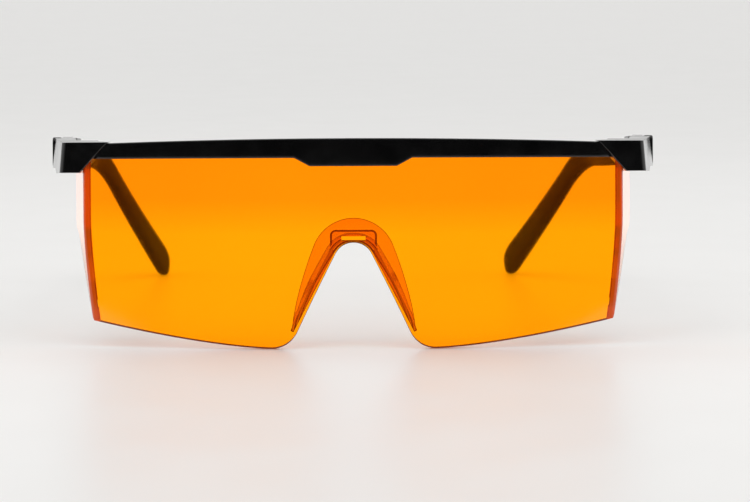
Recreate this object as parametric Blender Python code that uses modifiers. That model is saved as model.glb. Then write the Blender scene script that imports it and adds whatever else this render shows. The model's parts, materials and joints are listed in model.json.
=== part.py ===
"""Safety glasses with an orange wrap-round lens, a black brow bar and adjustable temples.

Metres, +Z up. The glasses stand on the lower edge of the lens and on the tips of the temples, with the
middle of their footprint at the origin. The front faces -Y, and the left side is the one at -X.

Each piece is designed in an upright frame: x is zero in the middle, y is zero on the middle of the lens's
outer face, and z is zero at the lowest point of the lens. The empty "stance" leans that frame back until
the temple tips reach the floor.
"""

import math

import bmesh
import bpy
from mathutils import Matrix, Vector

GAP = 0.0003
LEFT = -1
RIGHT = 1
SIDE_NAMES = {LEFT: "left", RIGHT: "right"}

# Heights under and over everything at the brow, and values of x inside and outside of the hinges: prisms
# that are cut to shape, and cutters, start and end there.
UNDER_BROW = 0.040
OVER_BROW = 0.060
INSIDE_HINGE = 0.060
OUTSIDE_HINGE = 0.090

# The lens: one shell, curved across the front and turned back at each corner into a side shield.
LENS_THICKNESS = 0.0020
LENS_HALF_WIDTH = 0.0696
LENS_FRONT_RADIUS = 0.430
LENS_CORNER_RADIUS = 0.0024
SHIELD_FLARE = math.radians(11.5)
SHIELD_LENGTH = 0.0205
LENS_TOP = 0.0513
SHIELD_TOP = 0.0462
CORNER_RISE = 0.0073
SHIELD_RISE = 0.0235
BARREL_HEIGHT = 0.0335
BARREL_INSET = 0.0034
RISE_START = 0.0220

# The nose notch: a round top, straight flanks and rounded feet.
NOTCH_TOP = 0.0271
NOTCH_TOP_RADIUS = 0.0052
NOTCH_FOOT_RADIUS = 0.0080
NOTCH_FLANK = math.radians(62.5)
NOTCH_ZONE = 0.0232

# The brow bar, which has a groove for the lens's top edge and a deeper middle.
BAR_LIP = 0.0016
BAR_DEPTH = 0.0058
BAR_TOP_MIDDLE = 0.0538
BAR_TOP_FALL = 0.0012
BAR_BOTTOM = 0.0487
BAR_DROP = 0.0021
DROP_HALF_FLAT = 0.0111
DROP_HALF_WIDTH = 0.0150
BAR_ARC_END = 0.0640
BAR_REACH = 0.0705
BAR_ROUNDING = 0.0004
SEAM_TOP = (0.0627, 0.0531)
SEAM_ANGLE = math.radians(43.5)

# The end blocks, each with a wing whose rear end thins to the plate that carries the tilting link.
BLOCK_TOP = 0.0530
BLOCK_BOTTOM = 0.0452
BLOCK_HALF_WIDTH = 0.0752
BLOCK_INNER = 0.0600
BLOCK_CORNER = 0.0735
BLOCK_CORNER_RADIUS = 0.0019
BLOCK_CORNER_SETBACK = 0.0001
BLOCK_AHEAD = -0.0020
BLOCK_BACK = 0.0138
BLOCK_REAR_X = (0.0722, 0.0668, 0.0660, 0.0640, BLOCK_INNER)
BLOCK_REAR_Y = (BLOCK_BACK, BLOCK_BACK, 0.0105, 0.0090, 0.0083)
BLOCK_ROUNDING = 0.0004
WING_SLOPE_START = 0.0060
WING_STEP = 0.0027
WING_INNER = 0.0735
BLOCK_DRAFT = math.tan(math.radians(5.0))
WING_OUTER = 0.0789
WING_BOTTOM = 0.0466
PLATE_START = 0.0217
PLATE_END = 0.0310
PLATE_OUTER = 0.0769
PLATE_INNER = 0.0745

# The tilting link: a tab on the outside of the plate, and behind it two knuckles of the fold hinge.
TILT_Y = 0.0263
TILT_Z = 0.0508
WING_BOSS_RADIUS = 0.00415
LINK_THICKNESS = 0.0023
LINK_INNER = PLATE_OUTER + GAP
LINK_OUTER = LINK_INNER + LINK_THICKNESS
LINK_START = 0.0200
LINK_FRONT = 0.0227
LINK_CORNER_RADIUS = 0.0012
LINK_WEB = PLATE_END + 0.0004
LINK_WEB_INSET = 0.0025
LINK_BACK = 0.0420
LINK_ROUNDING = 0.0003
FOLD_X = 0.0765
FOLD_Y = 0.0365
KNUCKLE_RADIUS = 0.0030
KNUCKLE_HALF_HEIGHT = 0.0016
LINK_HALF_HEIGHT = 0.0040

# Screws and nuts.
TILT_SHANK_RADIUS = 0.0010
TILT_HEAD_RADIUS = 0.0021
TILT_HEAD_HEIGHT = 0.0009
TILT_NUT_RADIUS = 0.0022
TILT_NUT_HEIGHT = 0.0013
HINGE_SHANK_RADIUS = 0.0008
HINGE_HEAD_RADIUS = 0.0016
HINGE_HEAD_HEIGHT = 0.0007
SLOT_WIDTH = 0.0005
SLOT_DEPTH = 0.0004

# The temples: a straight sleeve, and an arm that slides in it, bends down and in, and ends in a paddle.
OPEN_ANGLE = math.radians(-0.5)
REST_FOLD = {LEFT: 0.0, RIGHT: math.radians(5.5)}
SLEEVE_WIDTH = 0.0046
SLEEVE_HEIGHT = 0.0070
SLEEVE_START = 0.0035
SLEEVE_END = 0.0520
SLEEVE_ROUNDING = 0.0008
NECK_WIDTH = 0.0038
OVERLAP = 0.0020
CHANNEL_START = 0.0120
TONGUE_WIDTH = 0.0022
TONGUE_HEIGHT = 0.0046
TONGUE_START = 0.0240
ARM_TRAVEL = 0.0100
PEG_RADIUS = 0.0009
PEG_Y = 0.0300
PEG_RECESS = 0.0002
PEG_PLAY = 0.0006
ARM_START = SLEEVE_END + 0.0004
ARM_WIDTH = 0.0034
ARM_HEIGHT = 0.0066
PADDLE_HEIGHT = 0.0118
BEND_START = 0.0600
BEND_RADIUS = 0.0300
BEND_ANGLE = math.radians(39.5)
ARM_LENGTH = 0.0725
ARM_INSET = 0.0180
ARM_INSET_GROWTH = 1.2
PADDLE_GROWTH = 1.5
ARM_SQUARENESS = 0.7

LEAN = math.radians(5.51)

# The nose bridge: a plate behind the lens round the notch, a saddle turned back from it, and a rest on top.
BRIDGE_THICKNESS = 0.0011
BRIDGE_WALL = 0.0011
BRIDGE_REACH = 0.0286
BRIDGE_TIP = 0.05
BRIDGE_SETBACK = 0.0003
BRIDGE_LEDGE = 0.0003
BRIDGE_PLATE = 0.0060
BRIDGE_DEPTH = 0.0085
BRIDGE_FLARE = 0.0018
REST_HALF_WIDTH = 0.0060
REST_TOP = 0.0303
REST_FOOT = 0.0249
REST_DEPTH = 0.0042
REST_CORNER_RADIUS = 0.0014
REST_SETBACK = 0.0001
REST_ROUNDING = 0.0005


def clear_scene():
    for obj in list(bpy.data.objects):
        bpy.data.objects.remove(obj, do_unlink=True)


def new_collection(name, hidden=False):
    collection = bpy.data.collections.new(name)
    collection.hide_render = hidden
    bpy.context.scene.collection.children.link(collection)
    return collection


def material(name, colour, roughness, metallic=0.0, transmission=0.0):
    made = bpy.data.materials.new(name)
    made.use_nodes = True
    made.diffuse_color = (*colour, 1.0)
    shader = made.node_tree.nodes["Principled BSDF"]
    shader.inputs["Base Color"].default_value = (*colour, 1.0)
    shader.inputs["Roughness"].default_value = roughness
    shader.inputs["Metallic"].default_value = metallic
    shader.inputs["Transmission Weight"].default_value = transmission
    return made


def empty(name, parent, location, turn_z=0.0, turn_x=0.0):
    made = bpy.data.objects.new(name, None)
    made.empty_display_size = 0.01
    made.parent = parent
    made.location = location
    made.rotation_euler = (turn_x, 0.0, turn_z)
    PARTS.objects.link(made)
    return made


def add_object(name, mesh, parent, look=None):
    """A part, or with no material a cutter."""
    made = bpy.data.objects.new(name, mesh)
    made.parent = parent
    if look is None:
        made.hide_render = True
        made.display_type = "WIRE"
        CUTTERS.objects.link(made)
        return made
    mesh.materials.append(look)
    mesh.shade_smooth()
    mesh.set_sharp_from_angle(angle=math.radians(30))
    PARTS.objects.link(made)
    return made


def boolean(target, other, operation):
    modifier = target.modifiers.new(operation.lower() + "_" + other.name, "BOOLEAN")
    modifier.operation = operation
    modifier.solver = "EXACT"
    modifier.object = other


def bevel(target, width, segments=1):
    modifier = target.modifiers.new("bevel", "BEVEL")
    modifier.width = width
    modifier.segments = segments
    modifier.limit_method = "ANGLE"
    modifier.angle_limit = math.radians(40)


def mesh_from(name, shape):
    bmesh.ops.recalc_face_normals(shape, faces=shape.faces)
    mesh = bpy.data.meshes.new(name)
    shape.to_mesh(mesh)
    shape.free()
    return mesh


def box_mesh(name, low, high, rounding=0.0):
    """A box between two corners, with its edges rounded."""
    shape = bmesh.new()
    bmesh.ops.create_cube(shape, size=1.0)
    size = Vector(high) - Vector(low)
    middle = (Vector(high) + Vector(low)) / 2
    bmesh.ops.transform(
        shape, matrix=Matrix.Translation(middle) @ Matrix.Diagonal((*size, 1.0)), verts=shape.verts
    )
    if rounding:
        bmesh.ops.bevel(shape, geom=shape.edges[:], offset=rounding, segments=2, affect="EDGES", profile=0.5)
    return mesh_from(name, shape)


def cylinder_mesh(name, radius, start, end, segments=20):
    """A cylinder on the Z axis."""
    shape = bmesh.new()
    bmesh.ops.create_cone(
        shape, cap_ends=True, segments=segments, radius1=radius, radius2=radius, depth=end - start
    )
    bmesh.ops.translate(shape, verts=shape.verts, vec=(0.0, 0.0, (start + end) / 2))
    return mesh_from(name, shape)


def arc(centre, radius, start, end, count):
    """Points on an arc, with angles in degrees."""
    angles = [math.radians(start + (end - start) * i / count) for i in range(count + 1)]
    return [(centre[0] + radius * math.cos(a), centre[1] + radius * math.sin(a)) for a in angles]


def prism_mesh(name, outline, thickness):
    """The outline, in the XY plane, thickened evenly about z = 0."""
    curve = bpy.data.curves.new(name + "_outline", "CURVE")
    curve.dimensions = "2D"
    curve.fill_mode = "BOTH"
    curve.extrude = thickness / 2
    spline = curve.splines.new("POLY")
    spline.points.add(len(outline) - 1)
    spline.use_cyclic_u = True
    for point, (x, y) in zip(spline.points, outline):
        point.co = (x, y, 0.0, 1.0)
    source = bpy.data.objects.new(name + "_outline", curve)
    CUTTERS.objects.link(source)
    graph = bpy.context.evaluated_depsgraph_get()
    mesh = bpy.data.meshes.new_from_object(source.evaluated_get(graph))
    mesh.name = name
    shape = bmesh.new()
    shape.from_mesh(mesh)
    bmesh.ops.remove_doubles(shape, verts=shape.verts, dist=1e-6)
    bmesh.ops.recalc_face_normals(shape, faces=shape.faces)
    shape.to_mesh(mesh)
    shape.free()
    bpy.data.objects.remove(source)
    bpy.data.curves.remove(curve)
    return mesh


def plan_prism(name, outline, low, high):
    """An outline seen from above, between two heights."""
    mesh = prism_mesh(name, outline, high - low)
    mesh.transform(Matrix.Translation((0.0, 0.0, (low + high) / 2)))
    return mesh


def side_prism(name, outline, low, high):
    """An outline of (y, z) points seen from the side, between two values of x."""
    mesh = prism_mesh(name, outline, high - low)
    turned = Matrix(((0, 0, 1, 0), (1, 0, 0, 0), (0, 1, 0, 0), (0, 0, 0, 1)))
    mesh.transform(Matrix.Translation(((low + high) / 2, 0.0, 0.0)) @ turned)
    return mesh


def mirrored(mesh, side):
    """The mesh as it is for the right side, or turned over for the left."""
    if side == RIGHT:
        return mesh
    mesh.transform(Matrix.Diagonal((-1.0, 1.0, 1.0, 1.0)))
    mesh.flip_normals()
    return mesh


def turned(name, profile, parent, look, segments=20):
    """A turned piece on the Z axis: its profile of (radius, z) points runs from top to bottom."""
    mesh = bpy.data.meshes.new(name)
    points = [(radius, 0.0, z) for radius, z in profile]
    mesh.from_pydata(points, [(i, i + 1) for i in range(len(points) - 1)], [])
    made = add_object(name, mesh, parent, look)
    screw = made.modifiers.new("turn", "SCREW")
    screw.axis = "Z"
    screw.steps = segments
    screw.render_steps = segments
    screw.use_merge_vertices = True
    screw.merge_threshold = 0.00001
    screw.use_smooth_shade = True
    return made


def lens_plan(distance):
    """Point and outward direction, seen from above, at a distance along the lens's outer face."""
    turn_end = math.pi / 2 - SHIELD_FLARE
    corner_x = LENS_HALF_WIDTH - LENS_CORNER_RADIUS * math.sin(turn_end)
    turn_start = math.asin(corner_x / (LENS_FRONT_RADIUS - LENS_CORNER_RADIUS))
    front_length = LENS_FRONT_RADIUS * turn_start
    corner_length = LENS_CORNER_RADIUS * (turn_end - turn_start)
    along = abs(distance)
    turn = min(along, front_length) / LENS_FRONT_RADIUS
    x = LENS_FRONT_RADIUS * math.sin(turn)
    y = LENS_FRONT_RADIUS * (1 - math.cos(turn))
    if along > front_length:
        turn = turn_start + min(along - front_length, corner_length) / LENS_CORNER_RADIUS
        x += LENS_CORNER_RADIUS * (math.sin(turn) - math.sin(turn_start))
        y += LENS_CORNER_RADIUS * (math.cos(turn_start) - math.cos(turn))
    rest = max(0.0, along - front_length - corner_length)
    x += rest * math.cos(turn_end)
    y += rest * math.sin(turn_end)
    return math.copysign(x, distance), y, math.copysign(turn, distance), front_length, corner_length


def barrel(z):
    """How much of its full width the lens has at a height: its sides curve in towards the bottom."""
    below = max(0.0, 1.0 - z / BARREL_HEIGHT)
    return 1.0 - BARREL_INSET / LENS_HALF_WIDTH * below**1.5


def lens_point(distance, z, outset=0.0):
    x, y, turn, _, _ = lens_plan(distance)
    x = x * barrel(z) + outset * math.sin(turn)
    return Vector((x, y - outset * math.cos(turn), z))


def notch_height(x):
    """Height of the lens's lower edge over the nose, at a distance x from the middle."""
    slope = math.tan(NOTCH_FLANK)
    arc_end = NOTCH_TOP_RADIUS * math.sin(NOTCH_FLANK)
    arc_low = NOTCH_TOP - NOTCH_TOP_RADIUS * (1 - math.cos(NOTCH_FLANK))
    flank_foot = arc_end + arc_low / slope
    tangent = NOTCH_FOOT_RADIUS * math.tan(NOTCH_FLANK / 2)
    foot_start = flank_foot - tangent * math.cos(NOTCH_FLANK)
    foot_end = flank_foot + tangent
    if x < arc_end:
        return NOTCH_TOP - NOTCH_TOP_RADIUS + math.sqrt(NOTCH_TOP_RADIUS**2 - x**2)
    if x < foot_start:
        return arc_low - (x - arc_end) * slope
    if x < foot_end:
        return NOTCH_FOOT_RADIUS - math.sqrt(NOTCH_FOOT_RADIUS**2 - (foot_end - x) ** 2)
    return 0.0


def lens_bottom(distance):
    x, _, _, front_length, corner_length = lens_plan(abs(distance))
    if x < RISE_START:
        return notch_height(x)
    share = min(1.0, (x - RISE_START) / (LENS_HALF_WIDTH - RISE_START))
    rise = CORNER_RISE * share**1.5
    back = (abs(distance) - front_length - corner_length / 2) / (SHIELD_LENGTH + corner_length / 2)
    return rise + SHIELD_RISE * math.sin(math.pi / 2 * min(1.0, max(0.0, back)))


def lens_top(distance):
    _, _, _, front_length, corner_length = lens_plan(abs(distance))
    share = min(1.0, max(0.0, (abs(distance) - front_length) / corner_length))
    return LENS_TOP + (SHIELD_TOP - LENS_TOP) * share * share * (3 - 2 * share)


def spread(start, end, count):
    return [start + (end - start) * i / count for i in range(count)]


def lens_stations():
    """Distances along the lens at which its mesh has a column, closer together where it curves most."""
    _, _, _, front_length, corner_length = lens_plan(0.0)
    corner_end = front_length + corner_length
    half = spread(0.0, NOTCH_ZONE, 18) + spread(NOTCH_ZONE, front_length, 8)
    half += spread(front_length, corner_end, 6) + spread(corner_end, corner_end + SHIELD_LENGTH, 7)
    half.append(corner_end + SHIELD_LENGTH)
    return [-distance for distance in reversed(half[1:])] + half


def mapped_sheet(name, stations, rows, place):
    """An open surface with a column of points at each station, put where place(station, share) says."""
    shape = bmesh.new()
    bmesh.ops.create_grid(shape, x_segments=len(stations) - 1, y_segments=rows, size=1.0)
    for vert in shape.verts:
        column = round((vert.co.x + 1) / 2 * (len(stations) - 1))
        vert.co = place(stations[column], (vert.co.y + 1) / 2)
    mesh = bpy.data.meshes.new(name)
    shape.to_mesh(mesh)
    shape.free()
    return mesh


def thicken(target, thickness):
    """Solidify to the side that the surface's normals point away from."""
    modifier = target.modifiers.new("thickness", "SOLIDIFY")
    modifier.thickness = thickness
    modifier.offset = -1.0
    modifier.use_even_offset = True


def wall_mesh(name, stations, rows, bottom, top, outset):
    """A sheet that follows the lens's outer face, between two heights that depend on the place along it."""

    def place(distance, share):
        low = bottom(distance)
        return lens_point(distance, low + (top(distance) - low) * share, outset)

    return mapped_sheet(name, stations, rows, place)


def make_lens(parent, look):
    mesh = wall_mesh("lens", lens_stations(), 6, lens_bottom, lens_top, 0.0)
    lens = add_object("lens", mesh, parent, look)
    thicken(lens, LENS_THICKNESS)


def groove_cutter(parent):
    """The room that the lens's top edge takes up in the bar and in the end blocks."""
    stations = [d for d in lens_stations() if abs(d) < DROP_HALF_FLAT or abs(d) > RISE_START]
    mesh = wall_mesh("lens_groove", stations, 1, lambda d: UNDER_BROW, lambda d: lens_top(d) + GAP, GAP)
    cutter = add_object("lens_groove", mesh, parent)
    thicken(cutter, LENS_THICKNESS + 2 * GAP)
    return cutter


def seam_cutter(name, parent, side, outward):
    """A slab on one side of the slanting seam between the bar and an end block."""
    length = 0.04
    low, high = (-GAP / 2, length) if outward else (-length, GAP / 2)
    mesh = box_mesh(name, (low, -length / 2, -length), (high, length, length))
    across = Matrix.Rotation(-SEAM_ANGLE, 4, "Y")
    mesh.transform(Matrix.Translation((SEAM_TOP[0], 0.0, SEAM_TOP[1])) @ across)
    return add_object(name, mirrored(mesh, side), parent)


def make_brow_bar(parent, look, groove):
    def bottom(distance):
        share = (DROP_HALF_WIDTH - abs(distance)) / (DROP_HALF_WIDTH - DROP_HALF_FLAT)
        return BAR_BOTTOM - BAR_DROP * min(1.0, max(0.0, share))

    def top(distance):
        return BAR_TOP_MIDDLE - BAR_TOP_FALL * (distance / LENS_HALF_WIDTH) ** 2

    def place(distance, share):
        low = bottom(distance)
        return bar_point(distance, low + (top(distance) - low) * share)

    half = [DROP_HALF_FLAT] + spread(DROP_HALF_WIDTH, BAR_ARC_END, 8) + [BAR_ARC_END, BAR_REACH]
    stations = [-distance for distance in reversed(half)] + half
    bar = add_object("brow_bar", mapped_sheet("brow_bar", stations, 1, place), parent, look)
    thicken(bar, BAR_DEPTH)
    bevel(bar, BAR_ROUNDING, segments=2)
    boolean(bar, groove, "DIFFERENCE")
    for side, word in SIDE_NAMES.items():
        boolean(bar, seam_cutter("bar_seam_" + word, parent, side, True), "DIFFERENCE")


def bar_point(distance, z):
    """Front face of the brow bar: it follows the lens's front, and runs straight on past its corner."""
    turn = distance / LENS_FRONT_RADIUS
    x = (LENS_FRONT_RADIUS + BAR_LIP) * math.sin(turn)
    y = LENS_FRONT_RADIUS - (LENS_FRONT_RADIUS + BAR_LIP) * math.cos(turn)
    return Vector((x, y, z))


def block_plan():
    """The right end block and its wing, seen from above."""
    front_inner = bar_point(BLOCK_INNER, 0.0)
    front_outer = bar_point(BLOCK_CORNER, 0.0)
    corner_y = front_outer.y + BLOCK_CORNER_RADIUS + BLOCK_CORNER_SETBACK
    centre = (BLOCK_HALF_WIDTH - BLOCK_CORNER_RADIUS, corner_y)
    outline = [(front_inner.x, front_inner.y), (front_outer.x, front_outer.y)]
    outline += arc(centre, BLOCK_CORNER_RADIUS, -70, 0, 4)
    outline += [(WING_OUTER, PLATE_START), (WING_OUTER, PLATE_END)]
    outline += [(WING_INNER, PLATE_END), (WING_INNER, PLATE_START)]
    return outline + list(zip(BLOCK_REAR_X, BLOCK_REAR_Y))


def block_side():
    """The end block and its wing, seen from the side: a plate that rises to a round boss."""
    boss = arc((TILT_Y, TILT_Z), WING_BOSS_RADIUS, -90, 90, 12)
    outline = [(BLOCK_AHEAD, BLOCK_BOTTOM), (BLOCK_BACK, BLOCK_BOTTOM), (BLOCK_BACK + WING_STEP, WING_BOTTOM)]
    return outline + boss + [(WING_SLOPE_START, BLOCK_TOP), (BLOCK_AHEAD, BLOCK_TOP)]


def draft(mesh):
    """Leans the upright faces so that the block is a little wider at its bottom than at its top."""
    shear = Matrix.Identity(4)
    shear[0][2] = -BLOCK_DRAFT
    shear[0][3] = BLOCK_DRAFT * TILT_Z
    mesh.transform(shear)
    return mesh


def tilt_hole(name, parent, side, radius, low, high):
    """A cutter along the tilt axis, between two values of x."""
    mesh = cylinder_mesh(name, radius, low, high)
    mesh.transform(Matrix.Translation((0.0, TILT_Y, TILT_Z)) @ Matrix.Rotation(math.pi / 2, 4, "Y"))
    return add_object(name, mirrored(mesh, side), parent)


def make_end_block(parent, look, side, groove):
    word = SIDE_NAMES[side]
    plan = mirrored(draft(plan_prism(word + "_end_block", block_plan(), UNDER_BROW, OVER_BROW)), side)
    outline = side_prism(word + "_block_side", block_side(), BLOCK_INNER - OVERLAP, OUTSIDE_HINGE)
    block = add_object(word + "_end_block", plan, parent, look)
    boolean(block, add_object(word + "_block_side", mirrored(outline, side), parent), "INTERSECT")
    bevel(block, BLOCK_ROUNDING)
    boolean(block, groove, "DIFFERENCE")
    boolean(block, seam_cutter(word + "_block_seam", parent, side, False), "DIFFERENCE")
    recesses = {"outer": (PLATE_OUTER, OUTSIDE_HINGE), "inner": (INSIDE_HINGE, PLATE_INNER)}
    for kind, (low, high) in recesses.items():
        corner = (high, PLATE_END + OVERLAP, OVER_BROW)
        mesh = box_mesh(word + "_recess_" + kind, (low, PLATE_START, UNDER_BROW), corner)
        boolean(block, add_object(mesh.name, mirrored(mesh, side), parent), "DIFFERENCE")
    radius = TILT_SHANK_RADIUS + GAP
    hole = tilt_hole(word + "_block_hole", parent, side, radius, INSIDE_HINGE, OUTSIDE_HINGE)
    boolean(block, hole, "DIFFERENCE")


def link_plan():
    """The right tilting link seen from above, about the tilt axis: a plate, a web and a knuckle."""
    knuckle = arc((FOLD_X, FOLD_Y), KNUCKLE_RADIUS, 0, 180, 14)
    plate = [(LINK_INNER, LINK_START), (LINK_OUTER, LINK_START)]
    return plate + knuckle + [(FOLD_X - LINK_WEB_INSET, LINK_WEB), (LINK_INNER, LINK_WEB)]


def link_side():
    """The link seen from the side, with rounded front corners that clear the wing as it tilts."""
    low, high = TILT_Z - LINK_HALF_HEIGHT, TILT_Z + LINK_HALF_HEIGHT
    corner_y = LINK_FRONT + LINK_CORNER_RADIUS
    front = arc((corner_y, high - LINK_CORNER_RADIUS), LINK_CORNER_RADIUS, 90, 180, 4)
    front += arc((corner_y, low + LINK_CORNER_RADIUS), LINK_CORNER_RADIUS, 180, 270, 4)
    return front + [(LINK_BACK, low), (LINK_BACK, high)]


def about(mesh, centre):
    """The mesh moved so that the given point is its origin."""
    mesh.transform(Matrix.Translation(-Vector(centre)))
    return mesh


def make_tilt_link(axis, look, side):
    word = SIDE_NAMES[side]
    centre = (side * LINK_OUTER, TILT_Y, TILT_Z)
    plan = mirrored(plan_prism(word + "_tilt_link", link_plan(), UNDER_BROW, OVER_BROW), side)
    outline = mirrored(side_prism(word + "_link_side", link_side(), INSIDE_HINGE, OUTSIDE_HINGE), side)
    link = add_object(word + "_tilt_link", about(plan, centre), axis, look)
    boolean(link, add_object(word + "_link_side", about(outline, centre), axis), "INTERSECT")
    bevel(link, LINK_ROUNDING)
    half = KNUCKLE_HALF_HEIGHT + GAP
    low = (INSIDE_HINGE, FOLD_Y - KNUCKLE_RADIUS - GAP, TILT_Z - half)
    slot = box_mesh(word + "_link_slot", low, (OUTSIDE_HINGE, LINK_BACK, TILT_Z + half))
    cutters = [add_object(word + "_link_slot", about(mirrored(slot, side), centre), axis)]
    head_start = LINK_OUTER - TILT_HEAD_HEIGHT - GAP
    sizes = {"hole": (TILT_SHANK_RADIUS + GAP, PLATE_INNER), "sink": (TILT_HEAD_RADIUS + GAP, head_start)}
    for kind, (radius, start) in sizes.items():
        cutter = tilt_hole(word + "_link_" + kind, axis, side, radius, start, OUTSIDE_HINGE)
        about(cutter.data, centre)
        cutters.append(cutter)
    top = TILT_Z + LINK_HALF_HEIGHT
    for kind, radius, low in (
        ("pin_hole", HINGE_SHANK_RADIUS + GAP, TILT_Z - LINK_HALF_HEIGHT - OVERLAP),
        ("pin_sink", HINGE_HEAD_RADIUS + GAP, top - HINGE_HEAD_HEIGHT - GAP),
    ):
        mesh = cylinder_mesh(word + "_link_" + kind, radius, low, top + OVERLAP)
        mesh.transform(Matrix.Translation((side * FOLD_X, FOLD_Y, 0.0)))
        cutters.append(add_object(mesh.name, about(mesh, centre), axis))
    for cutter in cutters:
        boolean(link, cutter, "DIFFERENCE")


def slotted(screw, parent, degrees):
    """A screwdriver slot across a screw's head, which ends at z = 0."""
    reach = 2 * TILT_HEAD_RADIUS
    name = screw.name + "_slot"
    mesh = box_mesh(name, (-reach, -SLOT_WIDTH / 2, -SLOT_DEPTH), (reach, SLOT_WIDTH / 2, SLOT_DEPTH))
    mesh.transform(Matrix.Rotation(math.radians(degrees), 4, "Z"))
    boolean(screw, add_object(name, mesh, parent), "DIFFERENCE")


def make_tilt_screw(parent, look, side):
    """A slotted screw through the link and the plate, pointing inwards, with its head flush in the link."""
    word = SIDE_NAMES[side]
    frame = empty(word + "_tilt_screw_axis", parent, (side * LINK_OUTER, TILT_Y, TILT_Z))
    frame.rotation_euler = (0.0, side * math.pi / 2, 0.0)
    length = LINK_OUTER - PLATE_INNER + TILT_NUT_HEIGHT + GAP
    under = -TILT_HEAD_HEIGHT
    profile = [(0.0, 0.0), (TILT_HEAD_RADIUS, 0.0), (TILT_HEAD_RADIUS, under)]
    profile += [(TILT_SHANK_RADIUS, under), (TILT_SHANK_RADIUS, -length), (0.0, -length)]
    screw = turned(word + "_tilt_screw", profile, frame, look)
    slotted(screw, frame, 35)


def make_tilt_nut(parent, look, side):
    word = SIDE_NAMES[side]
    frame = empty(word + "_tilt_nut_axis", parent, (side * (PLATE_INNER - GAP), TILT_Y, TILT_Z))
    frame.rotation_euler = (0.0, side * math.pi / 2, 0.0)
    mesh = cylinder_mesh(word + "_tilt_nut", TILT_NUT_RADIUS, -TILT_NUT_HEIGHT, 0.0, segments=6)
    nut = add_object(word + "_tilt_nut", mesh, frame, look)
    radius = TILT_SHANK_RADIUS + GAP
    hole = cylinder_mesh(word + "_nut_hole", radius, -TILT_NUT_HEIGHT - OVERLAP, OVERLAP)
    boolean(nut, add_object(word + "_nut_hole", hole, frame), "DIFFERENCE")


def make_hinge_screw(axis, look, side):
    """The pin of the fold hinge: a slotted screw down through the three knuckles."""
    word = SIDE_NAMES[side]
    place = (side * (FOLD_X - LINK_OUTER), FOLD_Y - TILT_Y, LINK_HALF_HEIGHT)
    frame = empty(word + "_hinge_screw_axis", axis, place)
    under = -HINGE_HEAD_HEIGHT
    length = 2 * LINK_HALF_HEIGHT
    profile = [(0.0, 0.0), (HINGE_HEAD_RADIUS, 0.0), (HINGE_HEAD_RADIUS, under)]
    profile += [(HINGE_SHANK_RADIUS, under), (HINGE_SHANK_RADIUS, -length), (0.0, -length)]
    screw = turned(word + "_hinge_screw", profile, frame, look)
    slotted(screw, frame, 20)


def make_sleeve(axis, look, side):
    """The temple's straight sleeve, with the hinge's middle knuckle, a channel and a window."""
    word = SIDE_NAMES[side]
    half_width, half_height = SLEEVE_WIDTH / 2, SLEEVE_HEIGHT / 2
    low = (-half_width, SLEEVE_START, -half_height)
    body = box_mesh(word + "_temple_sleeve", low, (half_width, SLEEVE_END, half_height), SLEEVE_ROUNDING)
    sleeve = add_object(word + "_temple_sleeve", body, axis, look)
    half = KNUCKLE_HALF_HEIGHT
    corner = (NECK_WIDTH / 2, SLEEVE_START + OVERLAP, half)
    neck = box_mesh(word + "_neck", (-NECK_WIDTH / 2, 0.0, -half), corner)
    boolean(sleeve, add_object(word + "_neck", neck, axis), "UNION")
    knuckle = cylinder_mesh(word + "_knuckle", KNUCKLE_RADIUS, -half, half)
    boolean(sleeve, add_object(word + "_knuckle", knuckle, axis), "UNION")
    radius = HINGE_SHANK_RADIUS + GAP
    pin = cylinder_mesh(word + "_sleeve_pin_hole", radius, -half_height, half_height)
    wide, tall = TONGUE_WIDTH / 2 + GAP, TONGUE_HEIGHT / 2 + GAP
    channel = box_mesh(word + "_channel", (-wide, CHANNEL_START, -tall), (wide, SLEEVE_END + OVERLAP, tall))
    low = (0.0, PEG_Y - PEG_RADIUS - PEG_PLAY, -PEG_RADIUS - GAP)
    high = (SLEEVE_WIDTH, PEG_Y + ARM_TRAVEL + PEG_RADIUS + PEG_PLAY, PEG_RADIUS + GAP)
    window = mirrored(box_mesh(word + "_window", low, high), side)
    for mesh in (pin, channel, window):
        boolean(sleeve, add_object(mesh.name, mesh, axis), "DIFFERENCE")


def arm_frame(along, side):
    """Centre of the arm at a distance along it, and its slope downwards, about the fold hinge."""
    straight = BEND_START - ARM_START
    bend = BEND_RADIUS * BEND_ANGLE
    turn = min(max(0.0, along - straight), bend) / BEND_RADIUS
    rest = max(0.0, along - straight - bend)
    y = ARM_START + min(along, straight) + BEND_RADIUS * math.sin(turn) + rest * math.cos(turn)
    z = -BEND_RADIUS * (1 - math.cos(turn)) - rest * math.sin(turn)
    inset = ARM_INSET * max(0.0, (along - straight) / (ARM_LENGTH - straight)) ** ARM_INSET_GROWTH
    return Vector((-side * inset, y, z)), turn


def arm_height(along):
    """The arm widens evenly to its paddle, whose end is round."""
    share = along / ARM_LENGTH
    full = ARM_HEIGHT + (PADDLE_HEIGHT - ARM_HEIGHT) * max(0.0, share) ** PADDLE_GROWTH
    from_end = ARM_LENGTH - along
    if from_end < PADDLE_HEIGHT / 2:
        full *= math.sqrt(max(0.02, 1 - (1 - from_end / (PADDLE_HEIGHT / 2)) ** 2))
    return full


def arm_ring(along, side, sides=12):
    """A rounded section of the arm, square to its centre line."""
    centre, slope = arm_frame(along, side)
    across = Vector((1.0, 0.0, 0.0))
    up = Vector((0.0, math.sin(slope), math.cos(slope)))
    ring = []
    for i in range(sides):
        angle = 2 * math.pi * (i + 0.5) / sides
        wide = math.copysign(abs(math.cos(angle)) ** ARM_SQUARENESS, math.cos(angle)) * ARM_WIDTH / 2
        tall = math.copysign(abs(math.sin(angle)) ** ARM_SQUARENESS, math.sin(angle)) * arm_height(along) / 2
        ring.append(centre + across * wide + up * tall)
    return ring


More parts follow.
